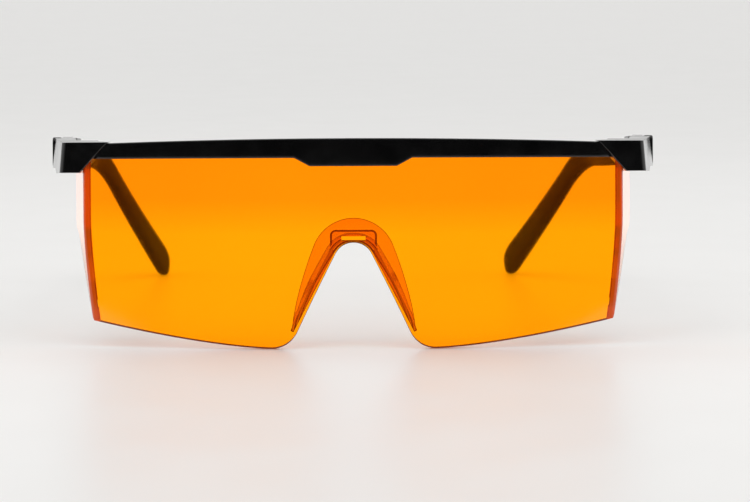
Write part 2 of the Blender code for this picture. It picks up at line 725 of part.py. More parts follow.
def loft_mesh(name, rings):
    """A closed body through the rings of points, which all have the same number of points."""
    shape = bmesh.new()
    loops = [[shape.verts.new(point) for point in ring] for ring in rings]
    for first, second in zip(loops, loops[1:]):
        for i in range(len(first)):
            j = (i + 1) % len(first)
            shape.faces.new((first[i], first[j], second[j], second[i]))
    shape.faces.new(loops[0])
    shape.faces.new(list(reversed(loops[-1])))
    return mesh_from(name, shape)


def make_arm(axis, look, side):
    """The sliding arm: a tongue with a peg in the sleeve, then the bent arm and its paddle."""
    word = SIDE_NAMES[side]
    ends = PADDLE_HEIGHT / 2
    stations = spread(0.0, ARM_LENGTH - ends, 16)
    stations += [ARM_LENGTH - ends * (1 - math.sin(math.pi / 2 * i / 6)) for i in range(7)]
    mesh = loft_mesh(word + "_temple_arm", [arm_ring(along, side) for along in stations])
    arm = add_object(word + "_temple_arm", mesh, axis, look)
    wide, tall = TONGUE_WIDTH / 2, TONGUE_HEIGHT / 2
    tongue = box_mesh(word + "_tongue", (-wide, TONGUE_START, -tall), (wide, ARM_START + OVERLAP, tall))
    boolean(arm, add_object(word + "_tongue", tongue, axis), "UNION")
    peg = cylinder_mesh(word + "_peg", PEG_RADIUS, 0.0, SLEEVE_WIDTH / 2 - PEG_RECESS, segments=16)
    peg.transform(Matrix.Translation((0.0, PEG_Y, 0.0)) @ Matrix.Rotation(side * math.pi / 2, 4, "Y"))
    boolean(arm, add_object(word + "_peg", peg, axis), "UNION")


def notch_edge(along):
    """Point and outward direction on the notch's edge, at a distance from the middle of its top."""
    arc_length = NOTCH_TOP_RADIUS * NOTCH_FLANK
    turn = min(abs(along), arc_length) / NOTCH_TOP_RADIUS
    rest = max(0.0, abs(along) - arc_length)
    x = NOTCH_TOP_RADIUS * math.sin(turn) + rest * math.cos(turn)
    z = NOTCH_TOP - NOTCH_TOP_RADIUS * (1 - math.cos(turn)) - rest * math.sin(turn)
    sign = math.copysign(1.0, along)
    return Vector((sign * x, 0.0, z)), Vector((sign * math.sin(turn), 0.0, math.cos(turn)))


def bridge_taper(along):
    """The bridge is widest at the top of the notch, and runs out towards the notch's feet."""
    share = min(1.0, abs(along) / BRIDGE_REACH)
    return BRIDGE_TIP + (1 - BRIDGE_TIP) * (1 - share**1.6) ** 0.8


def bridge_flare(along):
    """How far the saddle's rear edge leans away from the nose: most half-way down."""
    share = min(1.0, abs(along) / BRIDGE_REACH)
    return BRIDGE_FLARE * (1 - share**4) * (0.55 + 0.45 * min(1.0, 2 * share))


def rest_outline():
    """Seen from the front, a round-cornered block whose underside clears the top of the notch."""
    centre = (REST_HALF_WIDTH - REST_CORNER_RADIUS, REST_TOP - REST_CORNER_RADIUS)
    under = []
    for i in range(9):
        edge, outward = notch_edge(NOTCH_TOP_RADIUS * NOTCH_FLANK * (1 - i / 4))
        point = edge + outward * BRIDGE_SETBACK
        under.append((point.x, point.z))
    right = [(REST_HALF_WIDTH, REST_FOOT)] + arc(centre, REST_CORNER_RADIUS, 0, 90, 4)
    return right + [(-x, z) for x, z in reversed(right)] + list(reversed(under))


def bridge_ring(along, front):
    """An L-shaped section of the bridge: the plate against the lens, and the saddle turned back from it."""
    edge, outward = notch_edge(along)
    taper = bridge_taper(along)
    flare = bridge_flare(along)
    depth = BRIDGE_DEPTH * (0.2 + 0.8 * taper)
    wall = BRIDGE_WALL * (0.45 + 0.55 * taper)
    corner = wall + flare * BRIDGE_THICKNESS / depth
    width = max(BRIDGE_PLATE * taper, corner + BRIDGE_LEDGE)
    section = [(0.0, 0.0), (width, 0.0), (width, BRIDGE_THICKNESS), (corner, BRIDGE_THICKNESS)]
    section += [(flare + wall, depth), (flare, depth)]
    ring = []
    for offset, back in section:
        point = edge + outward * (BRIDGE_SETBACK + offset)
        point.y = lens_plan(point.x)[1] + front + back
        ring.append(point)
    return ring


def make_nose_bridge(parent, look):
    front = LENS_THICKNESS + GAP
    stations = spread(-BRIDGE_REACH, BRIDGE_REACH, 34) + [BRIDGE_REACH]
    mesh = loft_mesh("nose_bridge", [bridge_ring(along, front) for along in stations])
    bridge = add_object("nose_bridge", mesh, parent, look)
    block = prism_mesh("nose_rest", rest_outline(), REST_DEPTH)
    middle = front + REST_SETBACK + REST_DEPTH / 2
    block.transform(Matrix(((1, 0, 0, 0), (0, 0, -1, middle), (0, 1, 0, 0), (0, 0, 0, 1))))
    rest = add_object("nose_rest", block, parent)
    bevel(rest, REST_ROUNDING)
    boolean(bridge, rest, "UNION")


def stand_on_floor(stance):
    """Moves the whole object so that the middle of its box's underside is the origin."""
    bpy.context.view_layer.update()
    graph = bpy.context.evaluated_depsgraph_get()
    corners = []
    for obj in PARTS.objects:
        if obj.type == "MESH":
            solid = obj.evaluated_get(graph)
            corners += [solid.matrix_world @ vert.co for vert in solid.data.vertices]
    low = Vector([min(point[axis] for point in corners) for axis in range(3)])
    high = Vector([max(point[axis] for point in corners) for axis in range(3)])
    stance.location = Vector((-(low.x + high.x) / 2, -(low.y + high.y) / 2, -low.z))


def build():
    nylon = material("black_nylon", (0.012, 0.012, 0.013), 0.25)
    matt_nylon = material("temple_nylon", (0.016, 0.016, 0.017), 0.4)
    orange = material("orange_lens", (1.0, 0.27, 0.0), 0.03, transmission=0.9)
    bridge_orange = material("orange_bridge", (0.9, 0.2, 0.01), 0.08, transmission=0.7)
    steel = material("screw_steel", (0.55, 0.55, 0.56), 0.3, metallic=1.0)

    stance = empty("stance", None, (0.0, 0.0, 0.0), turn_x=-LEAN)
    groove = groove_cutter(stance)
    make_brow_bar(stance, nylon, groove)
    make_lens(stance, orange)
    make_nose_bridge(stance, bridge_orange)
    for side, word in SIDE_NAMES.items():
        make_end_block(stance, nylon, side, groove)
        make_tilt_screw(stance, steel, side)
        make_tilt_nut(stance, steel, side)
        tilt = empty(word + "_tilt_axis", stance, (side * LINK_OUTER, TILT_Y, TILT_Z))
        make_tilt_link(tilt, nylon, side)
        make_hinge_screw(tilt, steel, side)
        place = (side * (FOLD_X - LINK_OUTER), FOLD_Y - TILT_Y, 0.0)
        angle = side * (OPEN_ANGLE + REST_FOLD[side])
        fold = empty(word + "_fold_axis", tilt, place, turn_z=angle)
        make_sleeve(fold, matt_nylon, side)
        make_arm(fold, matt_nylon, side)
    stand_on_floor(stance)


clear_scene()
PARTS = new_collection("safety_glasses")
CUTTERS = new_collection("cutters", hidden=True)
build()
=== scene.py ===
"""Visual model of safety glasses: an orange wrap-round lens, a black brow bar and adjustable temples.

The pieces are built in the upright design frame of the CAD model (x is zero in the middle, y is zero on the
middle of the lens's outer face, z is zero at the lens's lowest point), in metres. STANCE then leans them back
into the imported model's frame. Each piece replaces its CAD node and rides on the same body.
"""

import json
import math

import bmesh
import bpy
from mathutils import Matrix, Vector


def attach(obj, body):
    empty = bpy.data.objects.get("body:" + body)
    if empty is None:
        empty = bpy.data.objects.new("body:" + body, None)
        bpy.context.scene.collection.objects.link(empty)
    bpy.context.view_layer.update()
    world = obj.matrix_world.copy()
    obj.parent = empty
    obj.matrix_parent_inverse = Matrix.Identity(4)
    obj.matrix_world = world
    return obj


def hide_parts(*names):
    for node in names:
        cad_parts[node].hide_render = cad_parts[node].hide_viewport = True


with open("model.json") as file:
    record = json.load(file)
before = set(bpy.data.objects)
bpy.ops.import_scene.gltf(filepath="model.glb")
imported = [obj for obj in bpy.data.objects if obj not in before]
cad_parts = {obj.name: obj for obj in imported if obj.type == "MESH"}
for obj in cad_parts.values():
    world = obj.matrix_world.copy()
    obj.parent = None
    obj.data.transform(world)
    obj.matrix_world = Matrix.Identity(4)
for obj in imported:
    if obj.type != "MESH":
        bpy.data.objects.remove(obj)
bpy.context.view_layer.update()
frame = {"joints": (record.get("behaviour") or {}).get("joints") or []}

GAP = 0.0003
LEFT = -1
RIGHT = 1
SIDE_NAMES = {LEFT: "left", RIGHT: "right"}

# Places clear of what is cut, for the ends of cutters: under and over the brow bar, inside and outside of the
# hinges, inside of the wings, behind their plates, and a box with everything in it. Where a cutter ends also
# decides where it leaves points on the faces that it cuts, which shows in their shading.
UNDER_BROW = 0.040
OVER_BROW = 0.060
INSIDE_HINGE = 0.050
OUTSIDE_HINGE = 0.090
INSIDE_WING = 0.070
BEHIND_PLATE = 0.040
ROOM = ((-0.1, -0.1, -0.1), (0.1, 0.1, 0.1))

# The lens. A skin is how far a smooth face stays inside the CAD model's facets.
LENS_THICKNESS = 0.0020
LENS_HALF_WIDTH = 0.0696
LENS_FRONT_RADIUS = 0.430
LENS_SKIN = 0.00002
LENS_CORNER_RADIUS = 0.0011
LENS_ROUNDING = 0.00014
LENS_ROWS = 24
SHIELD_FLARE = math.radians(11.5)
SHIELD_LENGTH = 0.0214
LENS_TOP = 0.0513
SHIELD_TOP = 0.0462
CORNER_RISE = 0.0073
SHIELD_RISE = 0.0235
BARREL_HEIGHT = 0.0335
BARREL_INSET = 0.0034
RISE_START = 0.0220
NOTCH_ZONE = 0.0232
GROOVE_COLUMNS_SKIPPED = (0.0120, 0.0220)
NOTCH_TOP = 0.0271
NOTCH_TOP_RADIUS = 0.0052
NOTCH_FOOT_RADIUS = 0.0080
NOTCH_FLANK = math.radians(62.5)

# The parts of the lens painted a browner colour as painted shade: its lower rim, as far back as a depth, and
# its corners.
RIM_HEIGHT = 0.0003
RIM_DEPTH = 0.0120
CORNER_EDGE = 0.0009
CORNER_STRIP = 0.0020
CORNER_DEPTH = 0.0075

# The brow bar.
BAR_LIP = 0.0016
BAR_DEPTH = 0.0058
BAR_TOP_MIDDLE = 0.05374
BAR_TOP_FALL = 0.0012
BAR_BOTTOM = 0.0487
BAR_DROP = 0.0021
BAR_CROWN = 0.00003
BAR_REACH = 0.0705
BAR_ROUNDING = 0.00035
DROP_HALF_FLAT = 0.0111
DROP_HALF_WIDTH = 0.0150
SEAM_TOP = (0.0627, 0.0531)
SEAM_ANGLE = math.radians(43.5)
SEAM_GAP = 0.00006
SEAM_CHAMFER = 0.0005
SEAM_REACH = (-0.0030, 0.0140)
SEAM_SLAB = 0.0400

# The end blocks.
BLOCK_TOP = 0.0530
BLOCK_BOTTOM = 0.0452
BLOCK_HALF_WIDTH = 0.0752
BLOCK_INNER = 0.0600
BLOCK_CORNER = 0.0735
BLOCK_CORNER_RADIUS = 0.0019
BLOCK_CORNER_SETBACK = 0.0001
BLOCK_AHEAD = -0.0020
BLOCK_BACK = 0.0138
BLOCK_REAR_X = (0.0722, 0.0668, 0.0660, 0.0640, BLOCK_INNER)
BLOCK_REAR_Y = (BLOCK_BACK, BLOCK_BACK, 0.0105, 0.0090, 0.0083)
BLOCK_ROUNDING = 0.0006
WING_SLOPE_START = 0.0060
WING_STEP = 0.0027
WING_INNER = 0.0735
BLOCK_DRAFT = math.tan(math.radians(5.0))
WING_OUTER = 0.0789
WING_BOTTOM = 0.0466
PLATE_START = 0.0217
PLATE_END = 0.0310
PLATE_OUTER = 0.0769
PLATE_INNER = 0.0745

# The tilting links and the fold hinges.
TILT_Y = 0.0263
TILT_Z = 0.0508
WING_BOSS_RADIUS = 0.00415
LINK_THICKNESS = 0.0023
LINK_INNER = PLATE_OUTER + GAP
LINK_OUTER = LINK_INNER + LINK_THICKNESS
LINK_START = 0.0200
LINK_FRONT = 0.0227
LINK_CORNER_RADIUS = 0.0012
LINK_WEB = PLATE_END + 0.0004
LINK_WEB_INSET = 0.0025
LINK_BACK = 0.0420
LINK_SLOT_INNER = 0.0720
LINK_HOLE_INNER = 0.0750
LINK_CUT_OUTER = 0.0830
LINK_CUT_DOWN = 0.0060
LINK_CUT_ABOVE = 0.001
LINK_ROUNDING = 0.00035
FOLD_X = 0.0765
FOLD_Y = 0.0365
KNUCKLE_RADIUS = 0.0030
KNUCKLE_HALF_HEIGHT = 0.0016
KNUCKLE_ROUNDING = 0.0002
LINK_HALF_HEIGHT = 0.0040

# The screws and nuts. The edge of a head is given as steps inwards and down, in widths of its rim.
TILT_SHANK_RADIUS = 0.0010
TILT_HEAD_RADIUS = 0.0021
TILT_HEAD_HEIGHT = 0.0009
TILT_NUT_RADIUS = 0.0022
TILT_NUT_HEIGHT = 0.0013
TILT_SLOT_TURN = math.radians(35)
NUT_ROUNDING = 0.00014
HINGE_SHANK_RADIUS = 0.0008
HINGE_HEAD_RADIUS = 0.0016
HINGE_HEAD_HEIGHT = 0.0007
HINGE_SLOT_TURN = math.radians(20)
HEAD_RIM = 0.00022
HEAD_EDGE = ((2.0, 0.0), (1.0, 0.2), (0.3, 0.7), (0.0, 1.6))
SLOT_WIDTH = 0.0005
SLOT_DEPTH = 0.0004
THREAD_PITCH = 0.0004
THREAD_DEPTH = 0.00008

# The temples.
OPEN_ANGLE = math.radians(-0.5)
REST_FOLD = {LEFT: 0.0, RIGHT: math.radians(5.5)}
SLEEVE_WIDTH = 0.0046
SLEEVE_HEIGHT = 0.0070
SLEEVE_START = 0.0035
SLEEVE_END = 0.0520
SLEEVE_ROUNDING = 0.0008
NECK_WIDTH = 0.0038
OVERLAP = 0.0020
CHANNEL_START = 0.0120
TONGUE_WIDTH = 0.0022
TONGUE_HEIGHT = 0.0046
TONGUE_START = 0.0240
TONGUE_ROUNDING = 0.0003
ARM_TRAVEL = 0.0100
PEG_RADIUS = 0.0009
PEG_Y = 0.0300
PEG_RECESS = 0.0002
PEG_ROUNDING = 0.00012
ARM_START = SLEEVE_END + 0.0004
ARM_WIDTH = 0.0034
ARM_HEIGHT = 0.0066
ARM_SQUARENESS = 0.7
PADDLE_HEIGHT = 0.0118
PADDLE_SKIN = 0.0001
PADDLE_GROWTH = 1.5
BEND_START = 0.0600
BEND_RADIUS = 0.0300
BEND_ANGLE = math.radians(39.5)
ARM_LENGTH = 0.0724
ARM_INSET = 0.0180
ARM_INSET_GROWTH = 1.2

# The arm's first sections, as shares of the full one by distance along it. Its tip thins over a share of the
# paddle's round end, down to a share of the width, by a power, and ends in a facet.
ARM_NOSE = {0.0: 0.84, 0.0002: 0.95, 0.0005: 0.99}
ARM_NOSE_END = 0.0010
TIP_THINNING = 0.45
TIP_THINNEST = 0.25
TIP_POWER = 2.4
TIP_FACET = 0.02

# The nose bridge.
BRIDGE_THICKNESS = 0.0011
BRIDGE_WALL = 0.0011
BRIDGE_REACH = 0.0286
BRIDGE_TIP = 0.05
BRIDGE_TAPER = (1.6, 0.8)
BRIDGE_DEPTH_AT_TIP = 0.20
BRIDGE_WALL_AT_TIP = 0.45
BRIDGE_FLARE_AT_TOP = 0.55
BRIDGE_SETBACK = 0.0003
BRIDGE_LEDGE = 0.0003
BRIDGE_ROUNDING = 0.00028
BRIDGE_PLATE = 0.0060
BRIDGE_DEPTH = 0.0085
BRIDGE_FLARE = 0.0018
REST_HALF_WIDTH = 0.0060
REST_TOP = 0.0303
REST_FOOT = 0.0249
REST_DEPTH = 0.0042
REST_CORNER_RADIUS = 0.0014
REST_SETBACK = 0.0001
REST_ROUNDING = 0.0006
REST_SLOT = (0.0031, 0.0277, 0.0287)

LEAN = math.radians(5.51)

# The materials.
SHARP_FROM = math.radians(32.0)
RUBBED_LIGHTER = 3.0
# Heights between which the clear plastic's tint is painted darker upwards, as painted shade.
TOP_SHADE_HEIGHTS = (0.029, 0.038)
# How much light the rims and corners, painted browner as shade, still let through.
SHADED_EDGE_TRANSMISSION = 0.3

# The studio, with radiances and emission strengths.
FLOOR_HALF = 12.0
FLOOR_TONES = ((0.82, 0.817, 0.81), (0.83, 0.827, 0.82))
# Emission strengths of the floor's painted light: seen through the lens, mirrored behind the glasses, and in
# a band in front of them.
FLOOR_GLOW_THROUGH_LENS = 0.45
FLOOR_GLOW_MIRRORED = 0.45
FLOOR_GLOW_AHEAD = (0.0, 0.045)
WORLD_COLOUR = (1.0, 0.995, 0.985)
WORLD_RADIANCE = 0.84
WORLD_DARK = 0.01
WORLD_REAR = 0.1
SOFTBOX_RADIANCE = 2.0
SOFTBOXES = {
    "top_softbox": ((0.0, -0.15, 0.75), (0.0, -0.05, 0.0), (0.60, 0.25)),
    "left_softbox": ((-0.65, 0.10, 0.30), (0.0, 0.0, 0.03), (0.22, 0.30)),
    "right_softbox": ((0.65, 0.10, 0.30), (0.0, 0.0, 0.03), (0.22, 0.30)),
}
CAMERA_LENS = 112.1
CAMERA_PLACE = (0.0, -0.596, 0.0405)
CAMERA_YAW = math.radians(-0.527)
CAMERA_PITCH = math.radians(90.0 - 1.496)
CAMERA_ROLL = math.radians(-0.23)


def joint(name):
    return next(found for found in frame["joints"] if found["name"] == name)


def design_to_frame():
    """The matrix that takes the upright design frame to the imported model's frame."""
    turn = Matrix.Rotation(-LEAN, 4, "X")
    pivot = turn @ Vector((LEFT * LINK_OUTER, TILT_Y, TILT_Z))
    return Matrix.Translation(Vector(joint("left_tilt")["pos_m"]) - pivot) @ turn


STANCE = design_to_frame()


def temple_to_frame(side):
    """The matrix for a temple, which is drawn straight back from its fold hinge."""
    hinge = Matrix.Translation((side * FOLD_X, FOLD_Y, TILT_Z))
    return STANCE @ hinge @ Matrix.Rotation(side * (OPEN_ANGLE + REST_FOLD[side]), 4, "Z")


# ---- mesh helpers ----


def from_bmesh(name, shape):
    mesh = bpy.data.meshes.new(name)
    shape.to_mesh(mesh)
    shape.free()
    return mesh


def scratch(mesh):
    """A temporary object for a mesh, for its modifiers."""
    made = bpy.data.objects.new(mesh.name, mesh)
    bpy.context.scene.collection.objects.link(made)
    return made


def solved(obj, *others):
    """The object's mesh with its modifiers applied. The object and its cutters are removed."""
    bpy.context.view_layer.update()
    graph = bpy.context.evaluated_depsgraph_get()
    mesh = bpy.data.meshes.new_from_object(obj.evaluated_get(graph))
    for old in (obj, *others):
        bpy.data.objects.remove(old)
    return mesh


def boolean(mesh, other, operation="DIFFERENCE", crossing=False):
    target, tool = scratch(mesh), scratch(other)
    modifier = target.modifiers.new("boolean", "BOOLEAN")
    modifier.use_self = crossing
    modifier.operation = operation
    modifier.solver = "EXACT"
    modifier.object = tool
    return solved(target, tool)


def cleaned(mesh):
    """The mesh without the folds where its faces cut through each other."""
    return boolean(mesh, box(*ROOM), "INTERSECT", crossing=True)


def bevelled(mesh, width, segments=4, limit=35.0):
    """Rounded edges. On a mesh of two materials they get the second."""
    target = scratch(mesh)
    modifier = target.modifiers.new("bevel", "BEVEL")
    modifier.width = width
    modifier.segments = segments
    modifier.limit_method = "ANGLE"
    modifier.angle_limit = math.radians(limit)
    modifier.material = len(mesh.materials) - 1
    return solved(target)


def two_toned(mesh):
    """Room for a second material, which rims and bevels get."""
    for _ in range(2):
        mesh.materials.append(None)
    return mesh


def rims_kept(mesh):
    """Keeps which of the front faces have the second material, as the attribute "rim"."""
    rim = [float(polygon.material_index > 0 and polygon.center.y < RIM_DEPTH) for polygon in mesh.polygons]
    mesh.attributes.new("rim", "FLOAT", "FACE").data.foreach_set("value", rim)
    return mesh


def thickened(mesh, thickness):
    """A sheet made solid, away from the side that its normals point to. Its rim gets the next material."""
    target = scratch(mesh)
    modifier = target.modifiers.new("thickness", "SOLIDIFY")
    modifier.thickness = thickness
    modifier.offset = -1.0
    modifier.use_even_offset = True
    modifier.material_offset_rim = 1
    return solved(target)


def weighted(mesh):
    """Normals that keep flat faces flat beside their rounded edges."""
    target = scratch(mesh)
    modifier = target.modifiers.new("normals", "WEIGHTED_NORMAL")
    modifier.keep_sharp = True
    modifier.weight = 60
    return solved(target)


def box(low, high):
    shape = bmesh.new()
    bmesh.ops.create_cube(shape, size=1.0)
    size, middle = Vector(high) - Vector(low), (Vector(high) + Vector(low)) / 2
    matrix = Matrix.Translation(middle) @ Matrix.Diagonal((*size, 1.0))
    bmesh.ops.transform(shape, matrix=matrix, verts=shape.verts)
    return from_bmesh("box", shape)


def cylinder(radius, start, end, segments=48):
    """A cylinder on the Z axis."""
    shape = bmesh.new()
    bmesh.ops.create_cone(
        shape, cap_ends=True, segments=segments, radius1=radius, radius2=radius, depth=end - start
    )
    bmesh.ops.translate(shape, verts=shape.verts, vec=(0.0, 0.0, (start + end) / 2))
    return from_bmesh("cylinder", shape)


def moved(mesh, matrix):
    mesh.transform(matrix)
    return mesh


def on_side(mesh, side):
    """The mesh as it is for the right side, or turned over for the left."""
    if side == LEFT:
        mesh.transform(Matrix.Diagonal((-1.0, 1.0, 1.0, 1.0)))
        mesh.flip_normals()
    return mesh


def arc(centre, radius, start, end, count):
    """Points on an arc, with angles in degrees."""
    angles = [math.radians(start + (end - start) * i / count) for i in range(count + 1)]
    return [(centre[0] + radius * math.cos(a), centre[1] + radius * math.sin(a)) for a in angles]


def prism(outline, low, high):
    """An outline of (x, y) points made solid between two heights."""
    shape = bmesh.new()
    floor = [shape.verts.new((x, y, low)) for x, y in outline]
    roof = [shape.verts.new((x, y, high)) for x, y in outline]
    for i in range(len(outline)):
        j = (i + 1) % len(outline)
        shape.faces.new((floor[i], floor[j], roof[j], roof[i]))
    shape.faces.new(floor)
    shape.faces.new(roof)
    bmesh.ops.recalc_face_normals(shape, faces=shape.faces)
    return from_bmesh("prism", shape)


SIDE_ON = Matrix(((0, 0, 1, 0), (1, 0, 0, 0), (0, 1, 0, 0), (0, 0, 0, 1)))


def side_prism(outline, low, high):
    """An outline of (y, z) points made solid between two values of x."""
    return moved(prism(outline, low, high), SIDE_ON)


def loft(rings):
    """A closed body through rings that all have the same number of points."""
    shape = bmesh.new()
    loops = [[shape.verts.new(point) for point in ring] for ring in rings]
    count = len(rings[0])
    for first, second in zip(loops, loops[1:]):
        for i in range(count):
            j = (i + 1) % count
            shape.faces.new((first[i], first[j], second[j], second[i]))
    shape.faces.new(loops[0])
    shape.faces.new(loops[-1])
    bmesh.ops.recalc_face_normals(shape, faces=shape.faces)
    return from_bmesh("loft", shape)


def turned_body(profile, segments=48):
    """A body turned on the Z axis from (radius, z) points that start and end on the axis."""
    shape = bmesh.new()
    first = shape.verts.new((0.0, 0.0, profile[0][1]))
    last = shape.verts.new((0.0, 0.0, profile[-1][1]))
    angles = [2 * math.pi * i / segments for i in range(segments)]
    rings = [
        [shape.verts.new((radius * math.cos(a), radius * math.sin(a), z)) for a in angles]
        for radius, z in profile[1:-1]
    ]
    for i in range(segments):
        j = (i + 1) % segments
        shape.faces.new((first, rings[0][i], rings[0][j]))
        shape.faces.new((last, rings[-1][j], rings[-1][i]))
        for upper, lower in zip(rings, rings[1:]):
            shape.faces.new((upper[i], lower[i], lower[j], upper[j]))
    bmesh.ops.recalc_face_normals(shape, faces=shape.faces)
    return from_bmesh("turned", shape)


def sheet(stations, rows, place):
    """An open surface with a column of points at each station, put where place(station, share) says."""
    shape = bmesh.new()
    columns = [[shape.verts.new(place(s, i / rows)) for i in range(rows + 1)] for s in stations]
    for first, second in zip(columns, columns[1:]):
        for i in range(rows):
            shape.faces.new((first[i], second[i], second[i + 1], first[i + 1]))
    return from_bmesh("sheet", shape)


def spread(start, end, count):
    return [start + (end - start) * i / count for i in range(count)]


def both_ways(half):
    """Stations from one end to the other, given the ones on the right."""
    return [-distance for distance in reversed(half) if distance > 0] + half


# ---- the lens ----


def lens_turns():
    """Directions, seen from above, in which the lens's front ends and in which its corner ends."""
    turn_end = math.pi / 2 - SHIELD_FLARE
    corner_x = LENS_HALF_WIDTH - LENS_CORNER_RADIUS * math.sin(turn_end)
    turn_start = math.asin(corner_x / (LENS_FRONT_RADIUS - LENS_CORNER_RADIUS))
    return turn_start, turn_end


TURN_START, TURN_END = lens_turns()
FRONT_LENGTH = LENS_FRONT_RADIUS * TURN_START
CORNER_LENGTH = LENS_CORNER_RADIUS * (TURN_END - TURN_START)
CORNER_END = FRONT_LENGTH + CORNER_LENGTH


def lens_plan(distance):
    """Point and outward direction, seen from above, at a distance along the lens's outer face."""
    along = abs(distance)
    turn = min(along, FRONT_LENGTH) / LENS_FRONT_RADIUS
    x = LENS_FRONT_RADIUS * math.sin(turn)
    y = LENS_FRONT_RADIUS * (1 - math.cos(turn))
    if along > FRONT_LENGTH:
        turn = TURN_START + min(along - FRONT_LENGTH, CORNER_LENGTH) / LENS_CORNER_RADIUS
        x += LENS_CORNER_RADIUS * (math.sin(turn) - math.sin(TURN_START))
        y += LENS_CORNER_RADIUS * (math.cos(TURN_START) - math.cos(turn))
    rest = max(0.0, along - CORNER_END)
    x += rest * math.cos(TURN_END)
    y += rest * math.sin(TURN_END)
    return math.copysign(x, distance), y, math.copysign(turn, distance)


def barrel(z):
    """How much of its full width the lens has at a height: its sides curve in towards the bottom."""
    below = max(0.0, 1.0 - z / BARREL_HEIGHT)
    return 1.0 - BARREL_INSET / LENS_HALF_WIDTH * below**1.5


def lens_point(distance, z, outset=0.0):
    x, y, turn = lens_plan(distance)
    return Vector((x * barrel(z) + outset * math.sin(turn), y - outset * math.cos(turn), z))


def notch_height(x):
    """Height of the lens's lower edge over the nose, at a distance x from the middle."""
    slope = math.tan(NOTCH_FLANK)
    arc_end = NOTCH_TOP_RADIUS * math.sin(NOTCH_FLANK)
    arc_low = NOTCH_TOP - NOTCH_TOP_RADIUS * (1 - math.cos(NOTCH_FLANK))
    flank_foot = arc_end + arc_low / slope
    tangent = NOTCH_FOOT_RADIUS * math.tan(NOTCH_FLANK / 2)
    foot_start = flank_foot - tangent * math.cos(NOTCH_FLANK)
    foot_end = flank_foot + tangent
    if x < arc_end:
        return NOTCH_TOP - NOTCH_TOP_RADIUS + math.sqrt(NOTCH_TOP_RADIUS**2 - x**2)
    if x < foot_start:
        return arc_low - (x - arc_end) * slope
    if x < foot_end:
        return NOTCH_FOOT_RADIUS - math.sqrt(NOTCH_FOOT_RADIUS**2 - (foot_end - x) ** 2)
    return 0.0


def lens_bottom(distance):
    x = lens_plan(abs(distance))[0]
    if x < RISE_START:
        return notch_height(x)
    share = min(1.0, (x - RISE_START) / (LENS_HALF_WIDTH - RISE_START))
    rise = CORNER_RISE * share**1.5
    back = (abs(distance) - FRONT_LENGTH - CORNER_LENGTH / 2) / (SHIELD_LENGTH + CORNER_LENGTH / 2)
    return rise + SHIELD_RISE * math.sin(math.pi / 2 * min(1.0, max(0.0, back)))


def lens_top(distance):
    share = min(1.0, max(0.0, (abs(distance) - FRONT_LENGTH) / CORNER_LENGTH))
    return LENS_TOP + (SHIELD_TOP - LENS_TOP) * share * share * (3 - 2 * share)


def lens_stations(fine=3):
    """Places along the lens, closer together over the nose notch and in the corners."""
    end = CORNER_END + SHIELD_LENGTH
    edge = FRONT_LENGTH - CORNER_EDGE
    half = spread(0.0, NOTCH_ZONE, 24 * fine) + spread(NOTCH_ZONE, edge, 10 * fine)
    half += spread(edge, FRONT_LENGTH, 1) + spread(FRONT_LENGTH, CORNER_END, 8 * fine)
    half += spread(CORNER_END, end, 8 * fine)
    return both_ways(half + [end])


def wall(stations, rows, bottom, top, outset, rim=0.0):
    """A sheet that follows the lens's outer face, between two heights that depend on the place along it.

    Its lowest row of faces has the height of the rim, if there is one.
    """

    def place(distance, share):
        low = bottom(distance)
        if rim and round(share * rows) == 1:
            return lens_point(distance, low + rim, outset)
        return lens_point(distance, low + (top(distance) - low) * share, outset)

    return sheet(stations, rows, place)


def corners_kept(mesh):
    """Keeps which faces lie where the lens turns from its front to its sides, as the attribute "corner"."""
    start = LENS_HALF_WIDTH - CORNER_STRIP
    corner = []
    for polygon in mesh.polygons:
        out = abs(polygon.center.x) / barrel(polygon.center.z)
        corner.append(float(out > start and polygon.center.y < CORNER_DEPTH))
    mesh.attributes.new("corner", "FLOAT", "FACE").data.foreach_set("value", corner)
    return mesh


def lens_mesh():
    """The shell. The attributes "rim" and "corner" tell its lower rim and its corners from the rest."""
    face = two_toned(wall(lens_stations(), LENS_ROWS, lens_bottom, lens_top, -LENS_SKIN, RIM_HEIGHT))
    for index in range(0, len(face.polygons), LENS_ROWS):
        face.polygons[index].material_index = 1
    shell = cleaned(thickened(face, LENS_THICKNESS))
    return corners_kept(rims_kept(bevelled(shell, LENS_ROUNDING, 2)))


def groove():
    """The room that the lens's top edge takes up in the bar and in the end blocks."""
    first, last = GROOVE_COLUMNS_SKIPPED
    stations = [distance for distance in lens_stations(1) if not first <= abs(distance) <= last]
    strip = wall(stations, 1, lambda distance: UNDER_BROW, lambda distance: lens_top(distance) + GAP, GAP)
    return cleaned(thickened(strip, LENS_THICKNESS + 2 * GAP))


# ---- the brow bar and the end blocks ----


def bar_point(distance, z, inset=0.0):
    """Front face of the brow bar: it follows the lens's front, and runs straight on past its corner."""
    turn = distance / LENS_FRONT_RADIUS
    radius = LENS_FRONT_RADIUS + BAR_LIP - inset
    return Vector((radius * math.sin(turn), LENS_FRONT_RADIUS - radius * math.cos(turn), z))


def seam_cutter(side, outward):
    """A slab on one side of the slanting seam between the bar and an end block."""
    low, high = (-SEAM_GAP / 2, SEAM_SLAB) if outward else (-SEAM_SLAB, SEAM_GAP / 2)
    slab = box((low, -SEAM_SLAB / 2, -SEAM_SLAB), (high, SEAM_SLAB, SEAM_SLAB))
    slant = Matrix.Rotation(-SEAM_ANGLE, 4, "Y")
    return on_side(moved(slab, Matrix.Translation((SEAM_TOP[0], 0.0, SEAM_TOP[1])) @ slant), side)


